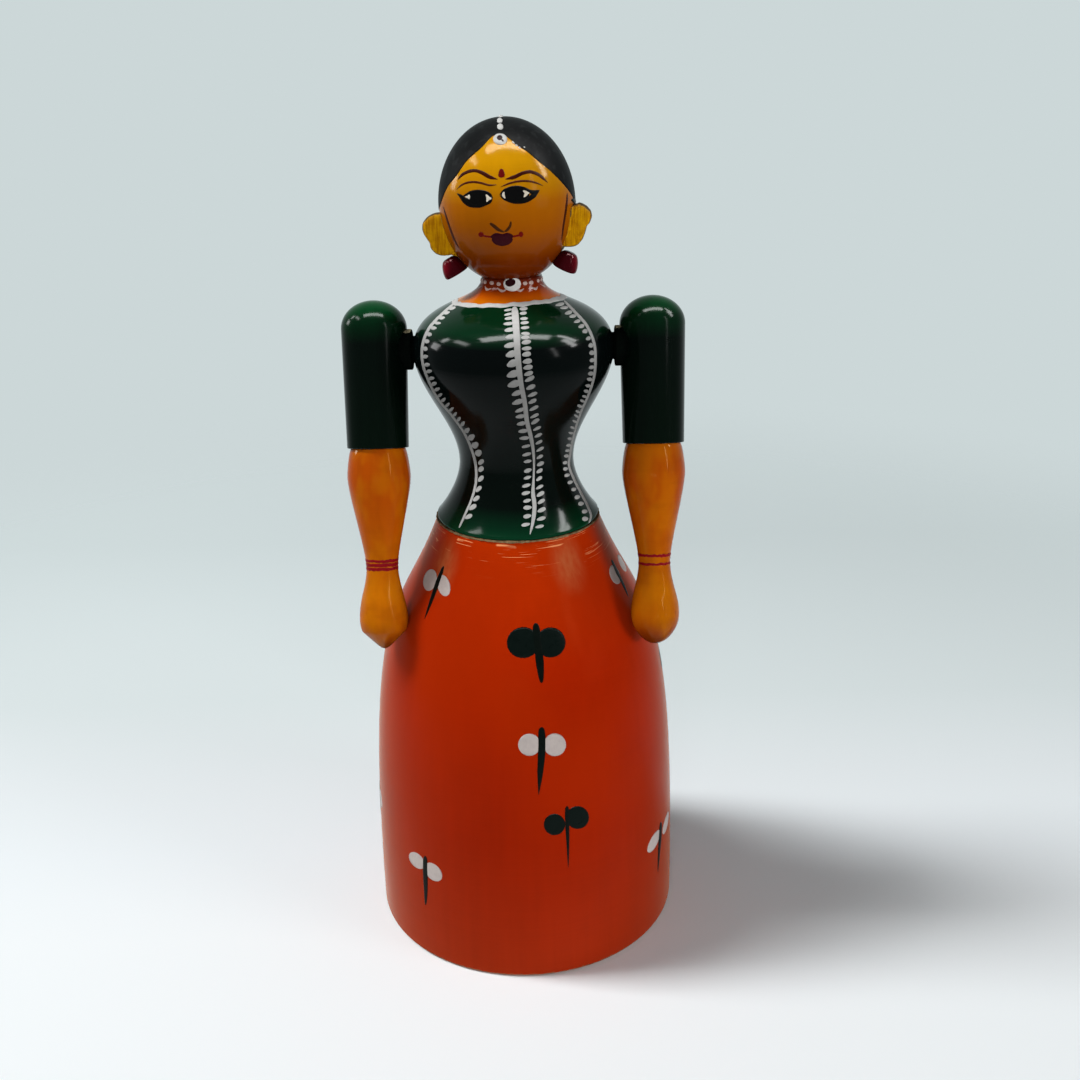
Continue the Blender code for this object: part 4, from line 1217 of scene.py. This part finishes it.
# the dome's top is a brighter green as painted light
sleeve_lac = lac(
    "sleeve_lac", -SLEEVE_DROP, SLEEVE_RISE,
    [(0, 0.001, 0.004, 0.002), (1, 0.001, 0.070, 0.016), (0.7, 0.001, 0.003, 0.002),
     (0.86, 0.001, 0.016, 0.005), (0.94, 0.001, 0.050, 0.012)],
    roughness=0.14, streaks=0.5, clouds=0.3, gloss=0.07,
)
arm_lac = lac(
    "arm_lac", tip_z, -ELBOW_DROP,
    [(0, 0.06, 0.010, 0.001), (1, 0.35, 0.058, 0.001), (0.07, 0.20, 0.030, 0.001),
     (0.15, 0.38, 0.086, 0.001), (0.27, 0.46, 0.122, 0.001), (0.38, 0.40, 0.086, 0.001),
     (0.8, 0.34, 0.051, 0.001)],
    roughness=0.10, rings=0.16, streaks=0.3, gloss=0.13, tint=(1, 0.76, 0.3),
)
tree, base = colour_so_far(arm_lac)
spot = whereabouts(tree)
for stretch, edge, width, share, colour in (  # golden clouds, then brown ones
    ((170, 170, 90), 0.52, 0.3, 0.30, (0.50, 0.17, 0.001)),
    ((120, 120, 240), 0.60, 0.2, 0.22, (0.24, 0.045, 0.001)),
):
    cloud = reckoned("MULTIPLY", over(noise(spot, stretch, 2), edge, width), share)
    base = mixed(cloud, base, colour)
recoloured(base)
CHIPPED_FROM, CHIP_SWAY, CHIP_BLUR = 0.0057, 0.0016, 0.0003  # heights, the first from the axis
CHIPPED_WOOD = (0.30, 0.27, 0.17)
pin_lac = paint("pin_lac", (0.0015, 0.0025, 0.002), 0.4, 0.5, 0)
tree, base = colour_so_far(pin_lac)
chipped = sway(whereabouts(tree, 2), (noise(whereabouts(tree), (900, 900, 900)), CHIP_SWAY))
chipped = over(chipped, SHOULDER_Z + CHIPPED_FROM, CHIP_BLUR)
recoloured(mixed(chipped, base, CHIPPED_WOOD))

TENON_RADIUS, TENON_LENGTH = 0.0040, 0.0150
COLLAR_RADIUS, COLLAR_EDGE = 0.0060, 0.0003
PEG_RADIUS, PEG_LENGTH = 0.0030, 0.0130
PIN_GAP = 0.0003
collar_start = math.sqrt(SLEEVE_RADIUS**2 - COLLAR_RADIUS**2) - PIN_GAP
collar_end = ARM_SPREAD - BUST_RADIUS - PIN_GAP
pin_outline = np.concatenate([
    [(0, collar_end + TENON_LENGTH), (TENON_RADIUS, collar_end + TENON_LENGTH)],
    [(TENON_RADIUS, collar_end)],
    rounded_edge(COLLAR_EDGE, COLLAR_RADIUS, collar_end - COLLAR_EDGE, 90, 0, 5),
    [(COLLAR_RADIUS, collar_start), (PEG_RADIUS, collar_start)],
    [(PEG_RADIUS, collar_start - PEG_LENGTH), (0, collar_start - PEG_LENGTH)],
])
wrist_red = paint("wrist_red", (0.20, 0.004, 0.008), 0.35)
wrist_lines = {  # across and down in pixels, then width
    "left": ((654, 556.0, 1.8), (654, 564.5, 1.6)),
    "right": ((383, 561.5, 1.8), (383, 565.5, 2.2), (383, 569.5, 2.0)),
}
WRIST_LINE = 0.00048  # metres for each unit of those widths
LINE_SWAY = 0.25  # share by which chance varies a line's width
PARED = 0.045  # depth of the knife's flats, as a share of the hand's radius
PARED_FROM = 0.002  # below the wrist
PARED_CLIMB = 420  # how fast a flat winds down the hand at most, radians per metre
POINT_LENGTH = 0.0057
POINTED = {1: 0.1, -1: 0.5}  # how much narrower each hand's tip is left


def whittled(own, side):
    """The hand's surface pared with a knife after turning: its radius takes soft chance facets
    between the wrist and the tip, strongest where the hand is fullest."""
    chance = np.random.default_rng(90 + side)
    angle, height = np.arctan2(own[:, 1], own[:, 0]), own[:, 2]
    share = np.clip((WRIST_Z - PARED_FROM - height) / (WRIST_Z - tip_z), 0, 1)
    facets = 0 * angle
    for turns in (4, 5, 7, 9):
        start, climb = chance.uniform(0, 2 * np.pi), chance.uniform(-PARED_CLIMB, PARED_CLIMB)
        facets += np.cos(turns * angle + start + climb * height) / turns
    point = np.clip(1 - (height - tip_z) / POINT_LENGTH, 0, 1)
    own[:, :2] *= (1 + PARED * facets * np.sin(np.pi * share**0.8))[:, None]
    own[:, :2] *= (1 - POINTED[side] * point)[:, None]
    return own


for side, word in ((1, "left"), (-1, "right")):
    body = word + "_arm"
    shoulder = placement((side * ARM_SPREAD, 0, SHOULDER_Z), -ARM_SWING)
    sleeve = turned(word + "_sleeve_turned", sleeve_outline, shoulder, 160)
    finished(sleeve, sleeve_lac, body, word + "_sleeve")
    forearm = turned(word + "_forearm_turned", forearm_outline, shoulder, 160)
    reshaped(forearm, shoulder, lambda own: whittled(own, side))
    finished(forearm, arm_lac, body, word + "_forearm")
    inwards = placement((0, 0, 0), 0, -side * math.pi / 2)
    pin = turned(word + "_pin_turned", pin_outline, shoulder @ inwards, 64)
    finished(pin, pin_lac, body, word + "_shoulder_pin")
    forearm_side = side_of(forearm_outside, shoulder)
    for number, (across, down, width) in enumerate(wrist_lines[word]):
        level = seen(forearm_side, [(across, down)])[1][0]
        seed = 50 + 7 * number + side
        line = level + WOBBLE * uneven(angle, seed)
        widths = width * WRIST_LINE * (1 + LINE_SWAY * uneven(angle, seed + 3))
        band = ribbon(f"{word}_wrist_line_{number + 1}", forearm_side, line, widths)
        finished(band, wrist_red, body)


# Dowels
# Plain pegs that hold skirt, blouse, head and forearms together, out of sight in their holes.
bare_wood = paint("bare_wood", (0.52, 0.33, 0.16), 0.6, 0.4, 0)
for dowel in ("waist_dowel", "neck_dowel", "left_elbow_dowel", "right_elbow_dowel"):
    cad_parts[dowel].material_slots[0].material = bare_wood


# Floor and light
# A white sweep that fades to a pale blue grey behind. A soft lamp high on the left throws the
# shadow to the right and two more fill it; tubes and windows above are only seen in the lac.
FLOOR_REACH = 4.0
BACKDROP = (0.604, 0.680, 0.687)
ROOM = (0.26, 0.29, 0.295)
SKY = (0.152, 0.152, 0.152)
floor_paper, tree = new_finish("floor_paper")  # not a part of the doll
fade = [(0, 0.858, 0.906, 0.922), (1, *BACKDROP), (0.13, 0.82, 0.875, 0.90),
        (0.26, 0.775, 0.83, 0.85), (0.45, 0.694, 0.767, 0.775)]
recoloured(ramp(whereabouts(tree, 1), -0.03, 0.33, fade))
shader = tree.nodes["Principled BSDF"]
shader.inputs["Roughness"].default_value = 1
shader.inputs["Specular IOR Level"].default_value = 0
far = fed("VectorMath", {0: whereabouts(tree), 1: (0, -0.05, 0)}, operation="ADD")
far = fed("VectorMath", {0: far}, "Value", operation="LENGTH")
clear = node(tree, "BsdfTransparent", {}).outputs[0]
blend = fed("MixShader", {0: over(far, 0.42, 0.4), 1: shader.outputs[0], 2: clear})
tree.links.new(blend, tree.nodes["Material Output"].inputs["Surface"])
corners = [(-FLOOR_REACH, -FLOOR_REACH, 0), (FLOOR_REACH, -FLOOR_REACH, 0),
           (FLOOR_REACH, FLOOR_REACH, 0), (-FLOOR_REACH, FLOOR_REACH, 0)]
floor = smooth_piece("floor", corners, [(0, 1, 2, 3)])
floor.data.materials.append(floor_paper)

bpy.context.scene.view_settings.view_transform = "Standard"
world = bpy.data.worlds.new("studio")
bpy.context.scene.world = world
world.use_nodes = True
tree = world.node_tree
rays = node(tree, "LightPath", {}).outputs
shown = rays["Is Camera Ray"]
for ray in ("Is Glossy Ray", "Is Transmission Ray"):
    shown = reckoned("MAXIMUM", shown, rays[ray])
toward = fed("SeparateXYZ", {0: node(tree, "TexCoord", {}).outputs["Generated"]}, 1)
pale = reckoned("MAXIMUM", over(toward, 0.38, 0.7), rays["Is Camera Ray"])
sky = tree.nodes["Background"].inputs
tree.links.new(mixed(shown, SKY, mixed(pale, ROOM, BACKDROP)), sky["Color"])
sky["Strength"].default_value = 1.0


def lamp(name, place, aim, width, depth, watts, mirrored=True):
    """A soft rectangular lamp at a place, facing a height on the doll's axis. One kind lights the
    doll and isn't mirrored in its lac; the other is only mirrored."""
    light = bpy.data.lights.new(name, "AREA")
    light.shape = "RECTANGLE"
    light.size, light.size_y, light.energy = width, depth, watts
    made = bpy.data.objects.new(name, light)
    bpy.context.scene.collection.objects.link(made)
    made.location = place
    ahead, side, up = np.subtract((0, 0, aim), place)
    tilt = math.atan2(math.hypot(ahead, side), -up)
    made.rotation_euler = (tilt, 0, math.atan2(ahead, -side) + math.pi)
    made.visible_glossy = mirrored
    made.visible_diffuse = not mirrored


lamp("key_left", (-1.34, 0.10, 2.10), 0.05, 0.5, 1.1, 55, False)
lamp("fill_front", (-0.20, -2.40, 0.32), 0.13, 0.8, 0.5, 25, False)
lamp("fill_right", (1.90, -1.00, 0.32), 0.13, 0.8, 0.5, 22, False)
lamp("tube_overhead", (0.02, -0.19, 1.08), 0.15, 0.95, 0.20, 26)
lamp("tube_left", (-0.84, -0.19, 1.00), 0.2, 0.36, 0.14, 4)
lamp("tube_right", (0.85, -0.02, 1.05), 0.2, 0.08, 0.5, 7)
lamp("window_left", (-0.85, 0.16, 0.78), 0.2, 0.10, 0.20, 1.6)
lamp("window_right", (0.85, -0.16, 0.82), 0.2, 0.14, 0.40, 8)
lamp("glow_left", (-0.90, 0.20, 0.46), 0.1, 0.20, 0.20, 2)
lamp("glow_right", (0.68, -0.57, 0.57), 0.1, 0.06, 0.4, 0.9)
